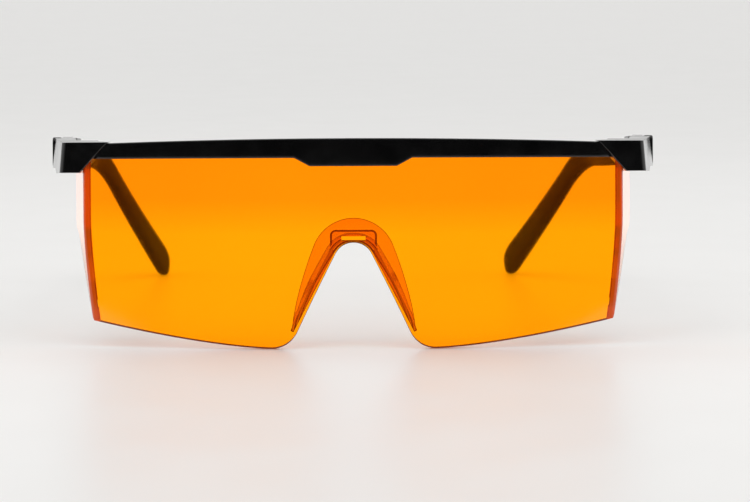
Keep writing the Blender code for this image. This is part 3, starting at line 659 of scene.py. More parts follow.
def seam_chamfer(side):
    """A square rod along the seam's front edge, which chamfers both sides of it."""

    def place(down):
        distance = (SEAM_TOP[0] + down * math.sin(SEAM_ANGLE)) / (1.0 + BAR_LIP / LENS_FRONT_RADIUS)
        return bar_point(distance, SEAM_TOP[1] - down * math.cos(SEAM_ANGLE))

    start, end = (place(down) for down in SEAM_REACH)
    length = (end - start).length
    half = SEAM_CHAMFER / math.sqrt(2)
    rod = moved(box((-half, -half, 0.0), (half, half, length)), Matrix.Rotation(math.pi / 4, 4, "Z"))
    turn = (end - start).to_track_quat("Z", "Y").to_matrix().to_4x4()
    return on_side(moved(rod, Matrix.Translation(start) @ turn), side)


def brow_bar_mesh():
    """The bar: deeper in its middle, with its ends cut along the seams and a groove for the lens."""

    def bottom(distance):
        share = (DROP_HALF_WIDTH - abs(distance)) / (DROP_HALF_WIDTH - DROP_HALF_FLAT)
        return BAR_BOTTOM - BAR_DROP * min(1.0, max(0.0, share))

    def top(distance):
        return BAR_TOP_MIDDLE - BAR_TOP_FALL * (distance / LENS_HALF_WIDTH) ** 2

    def place(distance, share):
        low = bottom(distance)
        return bar_point(distance, low + (top(distance) - low) * share, BAR_CROWN * (2 * share - 1) ** 2)

    half = [0.0, DROP_HALF_FLAT] + spread(DROP_HALF_WIDTH, BAR_REACH, 24) + [BAR_REACH]
    bar = bevelled(thickened(sheet(both_ways(half), 6, place), BAR_DEPTH), BAR_ROUNDING, 4)
    for side in SIDE_NAMES:
        bar = boolean(boolean(bar, seam_cutter(side, True)), seam_chamfer(side))
    return boolean(bar, groove())


def block_plan():
    """The right end block and its wing, seen from above."""
    front_inner, front_outer = bar_point(BLOCK_INNER, 0.0), bar_point(BLOCK_CORNER, 0.0)
    corner_y = front_outer.y + BLOCK_CORNER_RADIUS + BLOCK_CORNER_SETBACK
    centre = (BLOCK_HALF_WIDTH - BLOCK_CORNER_RADIUS, corner_y)
    outline = [(front_inner.x, front_inner.y), (front_outer.x, front_outer.y)]
    outline += arc(centre, BLOCK_CORNER_RADIUS, -70, 0, 10)
    outline += [(WING_OUTER, PLATE_START), (WING_OUTER, PLATE_END)]
    outline += [(WING_INNER, PLATE_END), (WING_INNER, PLATE_START)]
    return outline + list(zip(BLOCK_REAR_X, BLOCK_REAR_Y))


def block_side():
    """The end block and its wing, seen from the side: a plate that rises to a round boss."""
    boss = arc((TILT_Y, TILT_Z), WING_BOSS_RADIUS, -90, 90, 32)
    outline = [(BLOCK_AHEAD, BLOCK_BOTTOM), (BLOCK_BACK, BLOCK_BOTTOM), (BLOCK_BACK + WING_STEP, WING_BOTTOM)]
    return outline + boss + [(WING_SLOPE_START, BLOCK_TOP), (BLOCK_AHEAD, BLOCK_TOP)]


def along_tilt(radius, low, high):
    """A cylinder on the right tilt axis, between two values of x."""
    place = Matrix.Translation((0.0, TILT_Y, TILT_Z)) @ Matrix.Rotation(math.pi / 2, 4, "Y")
    return moved(cylinder(radius, low, high), place)


def end_block_mesh(side):
    """The end block with its wing, leaned so that it is a little wider at its bottom than at its top."""
    shear = Matrix.Identity(4)
    shear[0][2] = -BLOCK_DRAFT
    shear[0][3] = BLOCK_DRAFT * TILT_Z
    block = moved(prism(block_plan(), UNDER_BROW, OVER_BROW), shear)
    block = boolean(block, side_prism(block_side(), INSIDE_HINGE, OUTSIDE_HINGE), "INTERSECT")
    block = bevelled(block, BLOCK_ROUNDING, 5)
    block = boolean(boolean(block, seam_cutter(RIGHT, False)), seam_chamfer(RIGHT))
    outside = box((PLATE_OUTER, PLATE_START, UNDER_BROW), (OUTSIDE_HINGE, BEHIND_PLATE, OVER_BROW))
    inside = box((BLOCK_INNER, PLATE_START, UNDER_BROW), (PLATE_INNER, BEHIND_PLATE, OVER_BROW))
    hole = along_tilt(TILT_SHANK_RADIUS + GAP, INSIDE_WING, OUTSIDE_HINGE)
    for cutter in (outside, inside, hole, groove()):
        block = boolean(block, cutter)
    return on_side(block, side)


# ---- links, screws and nuts ----


def link_plan():
    """The right tilting link seen from above: a tab, a web and a knuckle."""
    knuckle = arc((FOLD_X, FOLD_Y), KNUCKLE_RADIUS, 0, 180, 32)
    plan = [(LINK_INNER, LINK_START), (LINK_OUTER, LINK_START)] + knuckle
    return plan + [(FOLD_X - LINK_WEB_INSET, LINK_WEB), (LINK_INNER, LINK_WEB)]


def link_side():
    """The link seen from the side, with rounded front corners."""
    low, high = TILT_Z - LINK_HALF_HEIGHT, TILT_Z + LINK_HALF_HEIGHT
    corner_y = LINK_FRONT + LINK_CORNER_RADIUS
    front = arc((corner_y, high - LINK_CORNER_RADIUS), LINK_CORNER_RADIUS, 90, 180, 12)
    front += arc((corner_y, low + LINK_CORNER_RADIUS), LINK_CORNER_RADIUS, 180, 270, 12)
    return front + [(LINK_BACK, low), (LINK_BACK, high)]


def link_cutters():
    """The slot between the right link's knuckles, and the holes and sinks for its two screws."""
    half = KNUCKLE_HALF_HEIGHT + GAP
    slot_low = (LINK_SLOT_INNER, FOLD_Y - KNUCKLE_RADIUS - GAP, TILT_Z - half)
    slot_high = (LINK_CUT_OUTER, LINK_BACK, TILT_Z + half)
    tilt_sink = LINK_OUTER - TILT_HEAD_HEIGHT - GAP
    low, high = TILT_Z - LINK_CUT_DOWN, TILT_Z + LINK_HALF_HEIGHT
    hinge_sink = high - HINGE_HEAD_HEIGHT - GAP
    pin = Matrix.Translation((FOLD_X, FOLD_Y, 0.0))
    return (
        box(slot_low, slot_high),
        along_tilt(TILT_SHANK_RADIUS + GAP, LINK_HOLE_INNER, LINK_CUT_OUTER),
        along_tilt(TILT_HEAD_RADIUS + GAP, tilt_sink, LINK_CUT_OUTER),
        moved(cylinder(HINGE_SHANK_RADIUS + GAP, low, high + LINK_CUT_ABOVE), pin),
        moved(cylinder(HINGE_HEAD_RADIUS + GAP, hinge_sink, high + LINK_CUT_ABOVE), pin),
    )


def link_mesh(side):
    """The tilting link: a tab on the outside of the wing's plate, a web, and two knuckles."""
    plan = prism(link_plan(), UNDER_BROW, OVER_BROW)
    link = boolean(plan, side_prism(link_side(), INSIDE_WING, OUTSIDE_HINGE), "INTERSECT")
    link = bevelled(link, LINK_ROUNDING, 3)
    for cutter in link_cutters():
        link = boolean(link, cutter)
    return on_side(link, side)


def screw_mesh(head_radius, head_height, shank_radius, length, slot_turn):
    """A slotted and threaded screw, its head's face at z = 0 and its shank pointing down."""
    profile = [(0.0, 0.0)]
    profile += [(head_radius - inwards * HEAD_RIM, -down * HEAD_RIM) for inwards, down in HEAD_EDGE]
    profile += [(head_radius, -head_height), (shank_radius, -head_height)]
    root = shank_radius - THREAD_DEPTH
    for i in range(int((length - head_height) / THREAD_PITCH) - 2):
        z = -head_height - THREAD_PITCH * (i + 1)
        profile += [(shank_radius, z), (root, z - THREAD_PITCH / 2)]
    profile += [(root, -length), (0.0, -length)]
    low = (-2 * head_radius, -SLOT_WIDTH / 2, -SLOT_DEPTH)
    high = (2 * head_radius, SLOT_WIDTH / 2, SLOT_DEPTH)
    return boolean(turned_body(profile), moved(box(low, high), Matrix.Rotation(slot_turn, 4, "Z")))


def tilt_frame(x, side):
    """A frame on the tilt axis whose z points outwards."""
    place = Matrix.Translation((side * x, TILT_Y, TILT_Z))
    return place @ Matrix.Rotation(side * math.pi / 2, 4, "Y")


def tilt_screw_mesh(side):
    length = LINK_OUTER - PLATE_INNER + TILT_NUT_HEIGHT + GAP
    screw = screw_mesh(TILT_HEAD_RADIUS, TILT_HEAD_HEIGHT, TILT_SHANK_RADIUS, length, TILT_SLOT_TURN)
    return moved(screw, tilt_frame(LINK_OUTER, side))


def tilt_nut_mesh(side):
    nut = bevelled(cylinder(TILT_NUT_RADIUS, -TILT_NUT_HEIGHT, 0.0, segments=6), NUT_ROUNDING, 2)
    nut = boolean(nut, cylinder(TILT_SHANK_RADIUS + GAP, -2 * TILT_NUT_HEIGHT, TILT_NUT_HEIGHT))
    return moved(nut, tilt_frame(PLATE_INNER - GAP, side))


def hinge_screw_mesh(side):
    length = 2 * LINK_HALF_HEIGHT
    screw = screw_mesh(HINGE_HEAD_RADIUS, HINGE_HEAD_HEIGHT, HINGE_SHANK_RADIUS, length, HINGE_SLOT_TURN)
    return moved(screw, Matrix.Translation((side * FOLD_X, FOLD_Y, TILT_Z + LINK_HALF_HEIGHT)))


# ---- the temples, drawn straight back from the fold hinge ----


def sleeve_mesh(side):
    """The straight sleeve, with the hinge's middle knuckle, a channel and a window."""
    half_width, half_height = SLEEVE_WIDTH / 2, SLEEVE_HEIGHT / 2
    low, high = (-half_width, SLEEVE_START, -half_height), (half_width, SLEEVE_END, half_height)
    sleeve = bevelled(box(low, high), SLEEVE_ROUNDING, 5)
    half = KNUCKLE_HALF_HEIGHT
    neck = box((-NECK_WIDTH / 2, 0.0, -half), (NECK_WIDTH / 2, SLEEVE_START + OVERLAP, half))
    sleeve = boolean(sleeve, neck, "UNION")
    knuckle = bevelled(cylinder(KNUCKLE_RADIUS, -half, half), KNUCKLE_ROUNDING, 2)
    sleeve = boolean(sleeve, knuckle, "UNION")
    wide, tall = TONGUE_WIDTH / 2 + GAP, TONGUE_HEIGHT / 2 + GAP
    hole = cylinder(HINGE_SHANK_RADIUS + GAP, -LINK_HALF_HEIGHT, LINK_HALF_HEIGHT)
    channel = box((-wide, CHANNEL_START, -tall), (wide, SLEEVE_END + OVERLAP, tall))
    clear = PEG_RADIUS + GAP
    window = arc((PEG_Y, 0.0), clear, 90, 270, 16) + arc((PEG_Y + ARM_TRAVEL, 0.0), clear, -90, 90, 16)
    window = on_side(side_prism(window, 0.0, SLEEVE_WIDTH), side)
    for cutter in (hole, bevelled(channel, TONGUE_ROUNDING, 2), window):
        sleeve = boolean(sleeve, cutter)
    return sleeve


def arm_frame(along, side):
    """Centre of the arm at a distance along it, and its slope downwards."""
    straight = BEND_START - ARM_START
    bend = BEND_RADIUS * BEND_ANGLE
    turn = min(max(0.0, along - straight), bend) / BEND_RADIUS
    rest = max(0.0, along - straight - bend)
    y = ARM_START + min(along, straight) + BEND_RADIUS * math.sin(turn) + rest * math.cos(turn)
    z = -BEND_RADIUS * (1 - math.cos(turn)) - rest * math.sin(turn)
    inset = ARM_INSET * max(0.0, (along - straight) / (ARM_LENGTH - straight)) ** ARM_INSET_GROWTH
    return Vector((-side * inset, y, z)), turn


def arm_ring(along, side, sides=40):
    """A rounded section of the arm, square to its centre line. It widens to a paddle with a round end."""
    centre, slope = arm_frame(along, side)
    up = Vector((0.0, math.sin(slope), math.cos(slope)))
    growth = PADDLE_HEIGHT - PADDLE_SKIN - ARM_HEIGHT
    tall = ARM_HEIGHT + growth * (along / ARM_LENGTH) ** PADDLE_GROWTH
    wide = ARM_WIDTH
    from_end = (ARM_LENGTH - along) / (PADDLE_HEIGHT / 2)
    if from_end < 1:
        tall *= max(TIP_FACET, math.sqrt(1 - (1 - from_end) ** 2))
    if from_end < TIP_THINNING:
        wide *= max(TIP_THINNEST, 1 - (1 - from_end / TIP_THINNING) ** TIP_POWER)
    ring = []
    for i in range(sides):
        angle = 2 * math.pi * (i + 0.5) / sides
        across = math.copysign(abs(math.cos(angle)) ** ARM_SQUARENESS, math.cos(angle)) * wide / 2
        rise = math.copysign(abs(math.sin(angle)) ** ARM_SQUARENESS, math.sin(angle)) * tall / 2
        ring.append(centre + Vector((across, 0.0, 0.0)) + up * rise)
    return ring


def arm_mesh(side):
    """The sliding arm: a tongue with a peg in the sleeve, then the bent arm and its paddle."""
    ends = PADDLE_HEIGHT / 2
    stations = list(ARM_NOSE) + spread(ARM_NOSE_END, ARM_LENGTH - ends, 70)
    stations += [ARM_LENGTH - ends * (1 - math.sin(math.pi / 2 * i / 24)) for i in range(25)]
    rings = [arm_ring(along, side) for along in stations]
    for ring, share in zip(rings, ARM_NOSE.values()):
        centre = sum(ring, Vector()) / len(ring)
        ring[:] = [centre + (point - centre) * share for point in ring]
    wide, tall = TONGUE_WIDTH / 2, TONGUE_HEIGHT / 2
    tongue = box((-wide, TONGUE_START, -tall), (wide, ARM_START + OVERLAP, tall))
    arm = boolean(loft(rings), bevelled(tongue, TONGUE_ROUNDING, 2), "UNION")
    peg = cylinder(PEG_RADIUS, 0.0, SLEEVE_WIDTH / 2 - PEG_RECESS, segments=32)
    place = Matrix.Translation((0.0, PEG_Y, 0.0)) @ Matrix.Rotation(side * math.pi / 2, 4, "Y")
    return boolean(arm, moved(bevelled(peg, PEG_ROUNDING, 2), place), "UNION")


# ---- the nose bridge ----


def notch_edge(along):
    """Point and outward direction on the notch's edge, at a distance from the middle of its top."""
    arc_length = NOTCH_TOP_RADIUS * NOTCH_FLANK
    turn = min(abs(along), arc_length) / NOTCH_TOP_RADIUS
    rest = max(0.0, abs(along) - arc_length)
    x = NOTCH_TOP_RADIUS * math.sin(turn) + rest * math.cos(turn)
    z = NOTCH_TOP - NOTCH_TOP_RADIUS * (1 - math.cos(turn)) - rest * math.sin(turn)
    sign = math.copysign(1.0, along)
    return Vector((sign * x, 0.0, z)), Vector((sign * math.sin(turn), 0.0, math.cos(turn)))


def bridge_taper(along):
    """The bridge is widest at the top of the notch, and runs out towards the notch's feet."""
    inner, outer = BRIDGE_TAPER
    full = (1 - min(1.0, abs(along) / BRIDGE_REACH) ** inner) ** outer
    return BRIDGE_TIP + (1 - BRIDGE_TIP) * full


def bridge_flare(along):
    """How far the saddle's rear edge leans away from the nose: most half-way down."""
    share = min(1.0, abs(along) / BRIDGE_REACH)
    down = BRIDGE_FLARE_AT_TOP + (1 - BRIDGE_FLARE_AT_TOP) * min(1.0, 2 * share)
    return BRIDGE_FLARE * (1 - share**4) * down


def bridge_ring(along, front):
    """An L-shaped section of the bridge: the plate against the lens, and the saddle turned back from it."""
    edge, outward = notch_edge(along)
    taper = bridge_taper(along)
    flare = bridge_flare(along)
    depth = BRIDGE_DEPTH * (BRIDGE_DEPTH_AT_TIP + (1 - BRIDGE_DEPTH_AT_TIP) * taper)
    wall_width = BRIDGE_WALL * (BRIDGE_WALL_AT_TIP + (1 - BRIDGE_WALL_AT_TIP) * taper)
    corner = wall_width + flare * BRIDGE_THICKNESS / depth
    width = max(BRIDGE_PLATE * taper, corner + BRIDGE_LEDGE)
    section = [(0.0, 0.0), (width, 0.0), (width, BRIDGE_THICKNESS), (corner, BRIDGE_THICKNESS)]
    section += [(flare + wall_width, depth), (flare, depth)]
    ring = []
    for offset, back in section:
        point = edge + outward * (BRIDGE_SETBACK + offset)
        point.y = lens_plan(point.x)[1] + front + back
        ring.append(point)
    return ring


def rest_outline():
    """Seen from the front, a round-cornered block whose underside clears the top of the notch."""
    centre = (REST_HALF_WIDTH - REST_CORNER_RADIUS, REST_TOP - REST_CORNER_RADIUS)
    count = 24
    under = []
    for i in range(count + 1):
        edge, outward = notch_edge(NOTCH_TOP_RADIUS * NOTCH_FLANK * (1 - 2 * i / count))
        point = edge + outward * BRIDGE_SETBACK
        under.append((point.x, point.z))
    right = [(REST_HALF_WIDTH, REST_FOOT)] + arc(centre, REST_CORNER_RADIUS, 0, 90, 10)
    return right + [(-x, z) for x, z in reversed(right)] + list(reversed(under))


UPRIGHT = Matrix(((1, 0, 0, 0), (0, 0, -1, 0), (0, 1, 0, 0), (0, 0, 0, 1)))


def nose_bridge_mesh():
    """A plate round the notch behind the lens, a saddle turned back from it, and a slotted rest on top."""
    front = LENS_THICKNESS + GAP
    stations = both_ways(spread(0.0, BRIDGE_REACH, 60) + [BRIDGE_REACH])
    saddle = two_toned(loft([bridge_ring(along, front) for along in stations]))
    low = front + REST_SETBACK
    rest = two_toned(moved(prism(rest_outline(), -low - REST_DEPTH, -low), UPRIGHT))
    bridge = boolean(bevelled(saddle, BRIDGE_ROUNDING, 3), bevelled(rest, REST_ROUNDING, 4), "UNION")
    half, bottom, top = REST_SLOT
    return rims_kept(boolean(bridge, box((-half, 0.0, bottom), (half, BRIDGE_DEPTH + REST_DEPTH, top))))


# ---- materials ----


class Nodes:
    """A node tree under construction. Its methods add a node each, and take sockets or plain values."""

    def __init__(self, tree):
        self.tree = tree
        self.nodes = tree.nodes

    def link(self, source, target):
        self.tree.links.new(source, target)

    def feed(self, sockets, values):
        """Gives each socket a number, a colour of three values, or a link from another socket."""
        for socket, value in zip(sockets, values):
            if isinstance(value, tuple):
                socket.default_value = (*value, 1.0)
            elif isinstance(value, float):
                socket.default_value = value
            else:
                self.link(value, socket)

    def coordinates(self, kind):
        """The X, Y and Z outputs for a kind of texture coordinate."""
        node = self.nodes.new("ShaderNodeSeparateXYZ")
        self.link(self.nodes.new("ShaderNodeTexCoord").outputs[kind], node.inputs["Vector"])
        return node.outputs

    def ranged(self, source, low, high, start=0.3, end=0.7, smooth=False):
        """A value brought from the range from start to end to the one from low to high."""
        node = self.nodes.new("ShaderNodeMapRange")
        if smooth:
            node.interpolation_type = "SMOOTHSTEP"
        names = ("Value", "From Min", "From Max", "To Min", "To Max")
        self.feed([node.inputs[name] for name in names], (source, start, end, low, high))
        return node.outputs["Result"]

    def combined(self, operation, first, second):
        node = self.nodes.new("ShaderNodeMath")
        node.operation = operation
        self.feed(node.inputs, (first, second))
        return node.outputs["Value"]

    def blend(self, factor, first, second):
        """A colour between two."""
        node = self.nodes.new("ShaderNodeMix")
        node.data_type = "RGBA"
        self.link(factor, node.inputs["Factor"])
        self.feed([socket for socket in node.inputs if socket.type == "RGBA"], (first, second))
        return next(socket for socket in node.outputs if socket.type == "RGBA")


class Look(Nodes):
    """A material under construction, and its Principled shader."""

    def __init__(self, name):
        self.material = bpy.data.materials.new(name)
        self.material.use_nodes = True
        super().__init__(self.material.node_tree)
        self.shader = self.nodes["Principled BSDF"]
        self.place = self.nodes.new("ShaderNodeTexCoord").outputs["Object"]

    def put(self, **values):
        """Sets sockets of the shader, such as base_color."""
        for name, value in values.items():
            self.shader.inputs[name.replace("_", " ").title().replace("Ior", "IOR")].default_value = value

    def noise(self, scale, detail=3.0):
        node = self.nodes.new("ShaderNodeTexNoise")
        node.inputs["Scale"].default_value = scale
        node.inputs["Detail"].default_value = detail
        self.link(self.place, node.inputs["Vector"])
        return node.outputs["Fac"]

    def attribute(self, name):
        node = self.nodes.new("ShaderNodeAttribute")
        node.attribute_name = name
        return node.outputs["Fac"]

    def bump(self, *layers):
        """Bumps of (height source, distance) laid over each other."""
        normal = None
        for height, distance in layers:
            node = self.nodes.new("ShaderNodeBump")
            node.inputs["Strength"].default_value = 1.0
            node.inputs["Distance"].default_value = distance
            self.link(height, node.inputs["Height"])
            if normal:
                self.link(normal, node.inputs["Normal"])
            normal = node.outputs["Normal"]
        self.link(normal, self.shader.inputs["Normal"])


def nylon_look(name, dark, light, gloss, grain, grain_depth, specular):
    """Moulded black nylon: a fine grain, slow drifts in tone and gloss, and edges rubbed a little smooth."""
    look = Look(name)
    look.put(ior=1.53, specular_ior_level=specular)
    tone = look.blend(look.ranged(look.noise(90.0), 0.0, 1.0), dark, light)
    patches = look.ranged(look.noise(420.0), 0.0, 0.55, 0.35, 0.65)
    rubbed = look.combined("MULTIPLY", look.attribute("edge"), patches)
    tone = look.blend(rubbed, tone, tuple(RUBBED_LIGHTER * value for value in light))
    look.link(tone, look.shader.inputs["Base Color"])
    look.link(look.ranged(look.noise(160.0, 4.0), *gloss), look.shader.inputs["Roughness"])
    look.bump((look.noise(grain, 2.0), grain_depth), (look.noise(45.0, 1.0), 0.00006))
    return look.material


def steel_look():
    """Turned steel, a little duller in patches, with fine tool marks."""
    look = Look("screw_steel_visual")
    look.put(metallic=1.0)
    tone = look.blend(look.ranged(look.noise(700.0), 0.0, 1.0), (0.42, 0.42, 0.43), (0.62, 0.62, 0.62))
    look.link(tone, look.shader.inputs["Base Color"])
    look.link(look.ranged(look.noise(1500.0), 0.2, 0.38), look.shader.inputs["Roughness"])
    look.bump((look.noise(6000.0, 2.0), 0.000006))
    return look.material


def shadow_tinted(look, shadow, density, absorbed):
    """Lets shadow rays through in a tint of their own, and absorbs light along its way inside."""
    path = look.nodes.new("ShaderNodeLightPath")
    window = look.nodes.new("ShaderNodeBsdfTransparent")
    window.inputs["Color"].default_value = (*shadow, 1.0)
    mix = look.nodes.new("ShaderNodeMixShader")
    look.link(path.outputs["Is Shadow Ray"], mix.inputs["Fac"])
    look.link(look.shader.outputs["BSDF"], mix.inputs[1])
    look.link(window.outputs["BSDF"], mix.inputs[2])
    volume = look.nodes.new("ShaderNodeVolumeAbsorption")
    volume.inputs["Color"].default_value = (*absorbed, 1.0)
    volume.inputs["Density"].default_value = density
    output = look.nodes["Material Output"]
    look.link(mix.outputs["Shader"], output.inputs["Surface"])
    look.link(volume.outputs["Volume"], output.inputs["Volume"])


def clear_look(name, tint, shaded_top_tint, rim, corner, shadow, density, absorbed, painted_glow, roughness):
    """Dyed clear plastic, deeper with thickness. Painted shade: darker upwards, and browner, less clear rims
    and corners.
    """
    look = Look(name)
    # Painted light: a faint emission gives the plastic a glow of its own.
    look.put(ior=1.58, transmission_weight=1.0, emission_color=(*painted_glow, 1.0), emission_strength=1.0)
    # Painted shade: the tint turns to the darker one towards the top.
    higher = look.ranged(look.coordinates("Object")["Z"], 0.0, 0.85, *TOP_SHADE_HEIGHTS)
    drift = look.combined("ADD", higher, look.ranged(look.noise(25.0, 1.0), 0.0, 0.15))
    # Painted shade: the rims and corners are painted browner, and let less light through.
    tone = look.blend(look.attribute("rim"), look.blend(drift, tint, shaded_top_tint), rim)
    tone = look.blend(look.attribute("corner"), tone, corner)
    look.link(tone, look.shader.inputs["Base Color"])
    shaded_edges = look.combined("ADD", look.attribute("rim"), look.attribute("corner"))
    clear = look.ranged(shaded_edges, 1.0, SHADED_EDGE_TRANSMISSION, 0.0, 1.0)
    look.link(clear, look.shader.inputs["Transmission Weight"])
    look.link(look.ranged(look.noise(60.0, 5.0), *roughness), look.shader.inputs["Roughness"])
    look.bump((look.noise(30.0, 1.0), 0.00002))
    shadow_tinted(look, shadow, density, absorbed)
    return look.material


LOOKS = {
    "black_nylon": nylon_look(
        "black_nylon_visual",
        dark=(0.0008, 0.0008, 0.0009),
        light=(0.0024, 0.0024, 0.0026),
        gloss=(0.12, 0.20),
        grain=2600.0,
        grain_depth=0.000004,
        specular=0.5,
    ),
    "temple_nylon": nylon_look(
        "temple_nylon_visual",
        dark=(0.004, 0.0036, 0.0036),
        light=(0.007, 0.0065, 0.006),
        gloss=(0.40, 0.52),
        grain=2200.0,
        grain_depth=0.000014,
        specular=0.06,
    ),
    "orange_lens": clear_look(
        "orange_lens_visual",
        tint=(1.0, 0.42, 0.002),
        shaded_top_tint=(1.0, 0.31, 0.002),
        # The rim and corner colours are painted shade.
        rim=(0.22, 0.035, 0.002),
        corner=(0.80, 0.105, 0.004),
        shadow=(1.2, 1.05, 0.95),
        density=1000.0,
        absorbed=(0.985, 0.87, 0.6),
        painted_glow=(0.004, 0.001, 0.0),
        roughness=(0.035, 0.045),
    ),
    "orange_bridge": clear_look(
        "orange_bridge_visual",
        tint=(0.95, 0.64, 0.10),
        shaded_top_tint=(0.92, 0.58, 0.08),
        # The rim and corner colours are painted shade.
        rim=(0.35, 0.05, 0.005),
        corner=(0.35, 0.05, 0.005),
        shadow=(1.0, 0.6, 0.2),
        density=700.0,
        absorbed=(0.955, 0.80, 0.3),
        painted_glow=(0.002, 0.0005, 0.0),
        roughness=(0.03, 0.06),
    ),
    "screw_steel": steel_look(),
}


# ---- pieces ----


def mark_edges(mesh):
    """Keeps, for each point, whether the surface turns there, for the rubbed edges of the materials."""
    shape = bmesh.new()
    shape.from_mesh(mesh)
    turns = [0.0] * len(shape.verts)
    for edge in shape.edges:
        if len(edge.link_faces) == 2:
            turn = min(1.0, edge.calc_face_angle(0.0) / math.radians(25))
            for vert in edge.verts:
                turns[vert.index] = max(turns[vert.index], turn)
    shape.free()
    mesh.attributes.new("edge", "FLOAT", "POINT").data.foreach_set("value", turns)


def add_piece(name, mesh, place, body, node, slot):
    """Puts a mesh in place of a CAD node, on the body that carries it."""
    mesh.transform(place)
    mesh.name = name
    mesh.materials.clear()
    mesh.shade_smooth()
    mesh.set_sharp_from_angle(angle=SHARP_FROM)
    mesh = weighted(mesh)
    mesh.materials.append(LOOKS[slot])
    mark_edges(mesh)
    piece = bpy.data.objects.new(name, mesh)
    bpy.context.scene.collection.objects.link(piece)
    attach(piece, body)
    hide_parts(node)
    return piece


def add_front():
    add_piece("lens_moulding", lens_mesh(), STANCE, "front", "lens", "orange_lens")
    add_piece("brow_bar_moulding", brow_bar_mesh(), STANCE, "front", "brow_bar", "black_nylon")
    add_piece("nose_bridge_moulding", nose_bridge_mesh(), STANCE, "front", "nose_bridge", "orange_bridge")


def add_side(side):
    word = SIDE_NAMES[side]
    temple = temple_to_frame(side)
    for part, make, place, body, slot in (
        ("end_block", end_block_mesh, STANCE, "front", "black_nylon"),
        ("tilt_screw", tilt_screw_mesh, STANCE, "front", "screw_steel"),
        ("tilt_nut", tilt_nut_mesh, STANCE, "front", "screw_steel"),
        ("tilt_link", link_mesh, STANCE, word + "_link", "black_nylon"),
        ("hinge_screw", hinge_screw_mesh, STANCE, word + "_link", "screw_steel"),
        ("temple_sleeve", sleeve_mesh, temple, word + "_sleeve", "temple_nylon"),
        ("temple_arm", arm_mesh, temple, word + "_arm", "temple_nylon"),
    ):
        node = word + "_" + part
        add_piece(node + "_piece", make(side), place, body, node, slot)


# ---- the floor, the light and the camera ----


def add_floor():
    """A pale floor with painted light: emission makes it a little brighter seen through the lens, brighter
    where it is mirrored behind the glasses, and brighter in a band just in front of them.
    """
    shape = bmesh.new()
    bmesh.ops.create_grid(shape, x_segments=8, y_segments=8, size=FLOOR_HALF)
    floor = bpy.data.objects.new("studio_floor", from_bmesh("studio_floor", shape))
    bpy.context.scene.collection.objects.link(floor)
    look = Look("studio_floor_visual")
    tone = look.blend(look.ranged(look.noise(9.0), 0.0, 1.0), *FLOOR_TONES)
    look.link(tone, look.shader.inputs["Base Color"])
    look.link(look.ranged(look.noise(40.0), 0.34, 0.40), look.shader.inputs["Roughness"])
    look.put(specular_ior_level=0.5, emission_color=(1.0, 1.0, 1.0, 1.0))
    # Painted light: emission that brightens the floor seen through the lens, mirrored behind the glasses, and
    # in a band in front of them.
    path = look.nodes.new("ShaderNodeLightPath")
    through = look.ranged(path.outputs["Is Transmission Ray"], 0.0, FLOOR_GLOW_THROUGH_LENS, 0.0, 1.0)
    opaque = look.ranged(path.outputs["Is Transmission Ray"], FLOOR_GLOW_MIRRORED, 0.0, 0.0, 1.0)
    mirrored = look.combined("MULTIPLY", path.outputs["Is Glossy Ray"], opaque)
    depth = look.coordinates("Object")["Y"]
    mirrored = look.combined("MULTIPLY", mirrored, look.ranged(depth, 0.0, 1.0, 0.05, 0.2))
    rising, falling = look.ranged(depth, *FLOOR_GLOW_AHEAD, -0.3, -0.1), look.ranged(depth, 1.0, 0.0, -0.10, -0.04)
    ahead = look.combined("MULTIPLY", rising, falling)
    painted_glow = look.combined("ADD", look.combined("ADD", through, ahead), mirrored)
    look.link(painted_glow, look.shader.inputs["Emission Strength"])
    floor.data.materials.append(look.material)


def add_softbox(name, place, target, size):
    """A rectangular lamp of an even brightness, which the camera doesn't see."""
    light = bpy.data.lights.new(name, "AREA")
    light.shape = "RECTANGLE"
    light.size, light.size_y = size
    light.energy = SOFTBOX_RADIANCE * math.pi * size[0] * size[1]
    lamp = bpy.data.objects.new(name, light)
    lamp.location = place
    lamp.rotation_euler = (Vector(target) - Vector(place)).to_track_quat("-Z", "Y").to_euler()
    lamp.visible_camera = False
    lamp.visible_transmission = False
    bpy.context.scene.collection.objects.link(lamp)


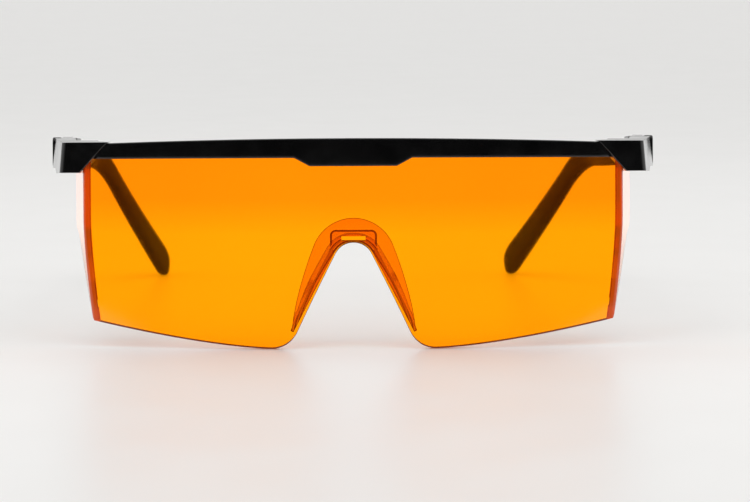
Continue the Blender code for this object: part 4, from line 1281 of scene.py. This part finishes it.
def add_world():
    """Even white light. Its mirror image in glossy surfaces is darker in front and brighter behind."""
    world = bpy.data.worlds.new("studio")
    world.use_nodes = True
    bpy.context.scene.world = world
    sky = Nodes(world.node_tree)

    def multiplied(first, second):
        return sky.combined("MULTIPLY", first, second)

    direction = sky.coordinates("Generated")
    forward = sky.ranged(direction["Y"], 1.0, 0.0, -0.75, -0.15, smooth=True)
    low = sky.ranged(direction["Z"], 1.0, 0.0, 0.25, 0.85, smooth=True)
    dark = sky.ranged(multiplied(forward, low), 0.0, WORLD_RADIANCE - WORLD_DARK, 0.0, 1.0, smooth=True)
    behind = sky.ranged(direction["Y"], 0.0, WORLD_REAR, -0.1, 0.35, smooth=True)
    level = sky.ranged(direction["Z"], 1.0, 0.0, 0.35, 0.75, smooth=True)
    path = sky.nodes.new("ShaderNodeLightPath")
    opaque = sky.combined("SUBTRACT", 1.0, path.outputs["Is Transmission Ray"])
    mirror = multiplied(path.outputs["Is Glossy Ray"], opaque)
    strength = sky.combined("SUBTRACT", WORLD_RADIANCE, multiplied(mirror, dark))
    strength = sky.combined("ADD", strength, multiplied(mirror, multiplied(behind, level)))
    background = sky.nodes["Background"]
    sky.feed((background.inputs["Color"], background.inputs["Strength"]), (WORLD_COLOUR, strength))


def add_camera():
    """The photograph's view, set in the upright design frame and leaned with the glasses."""
    data = bpy.data.cameras.new("camera")
    data.lens = CAMERA_LENS
    data.sensor_width = 36.0
    data.clip_start = 0.01
    camera = bpy.data.objects.new("camera", data)
    turn = Matrix.Rotation(CAMERA_YAW, 4, "Z") @ Matrix.Rotation(CAMERA_PITCH, 4, "X")
    turn @= Matrix.Rotation(CAMERA_ROLL, 4, "Z")
    camera.matrix_world = STANCE @ Matrix.Translation(CAMERA_PLACE) @ turn
    bpy.context.scene.collection.objects.link(camera)
    bpy.context.scene.camera = camera


def add_studio():
    bpy.context.scene.view_settings.view_transform = "Standard"
    add_floor()
    add_world()
    for name, (place, target, size) in SOFTBOXES.items():
        add_softbox(name, place, target, size)


add_front()
for each_side in SIDE_NAMES:
    add_side(each_side)
add_studio()
add_camera()
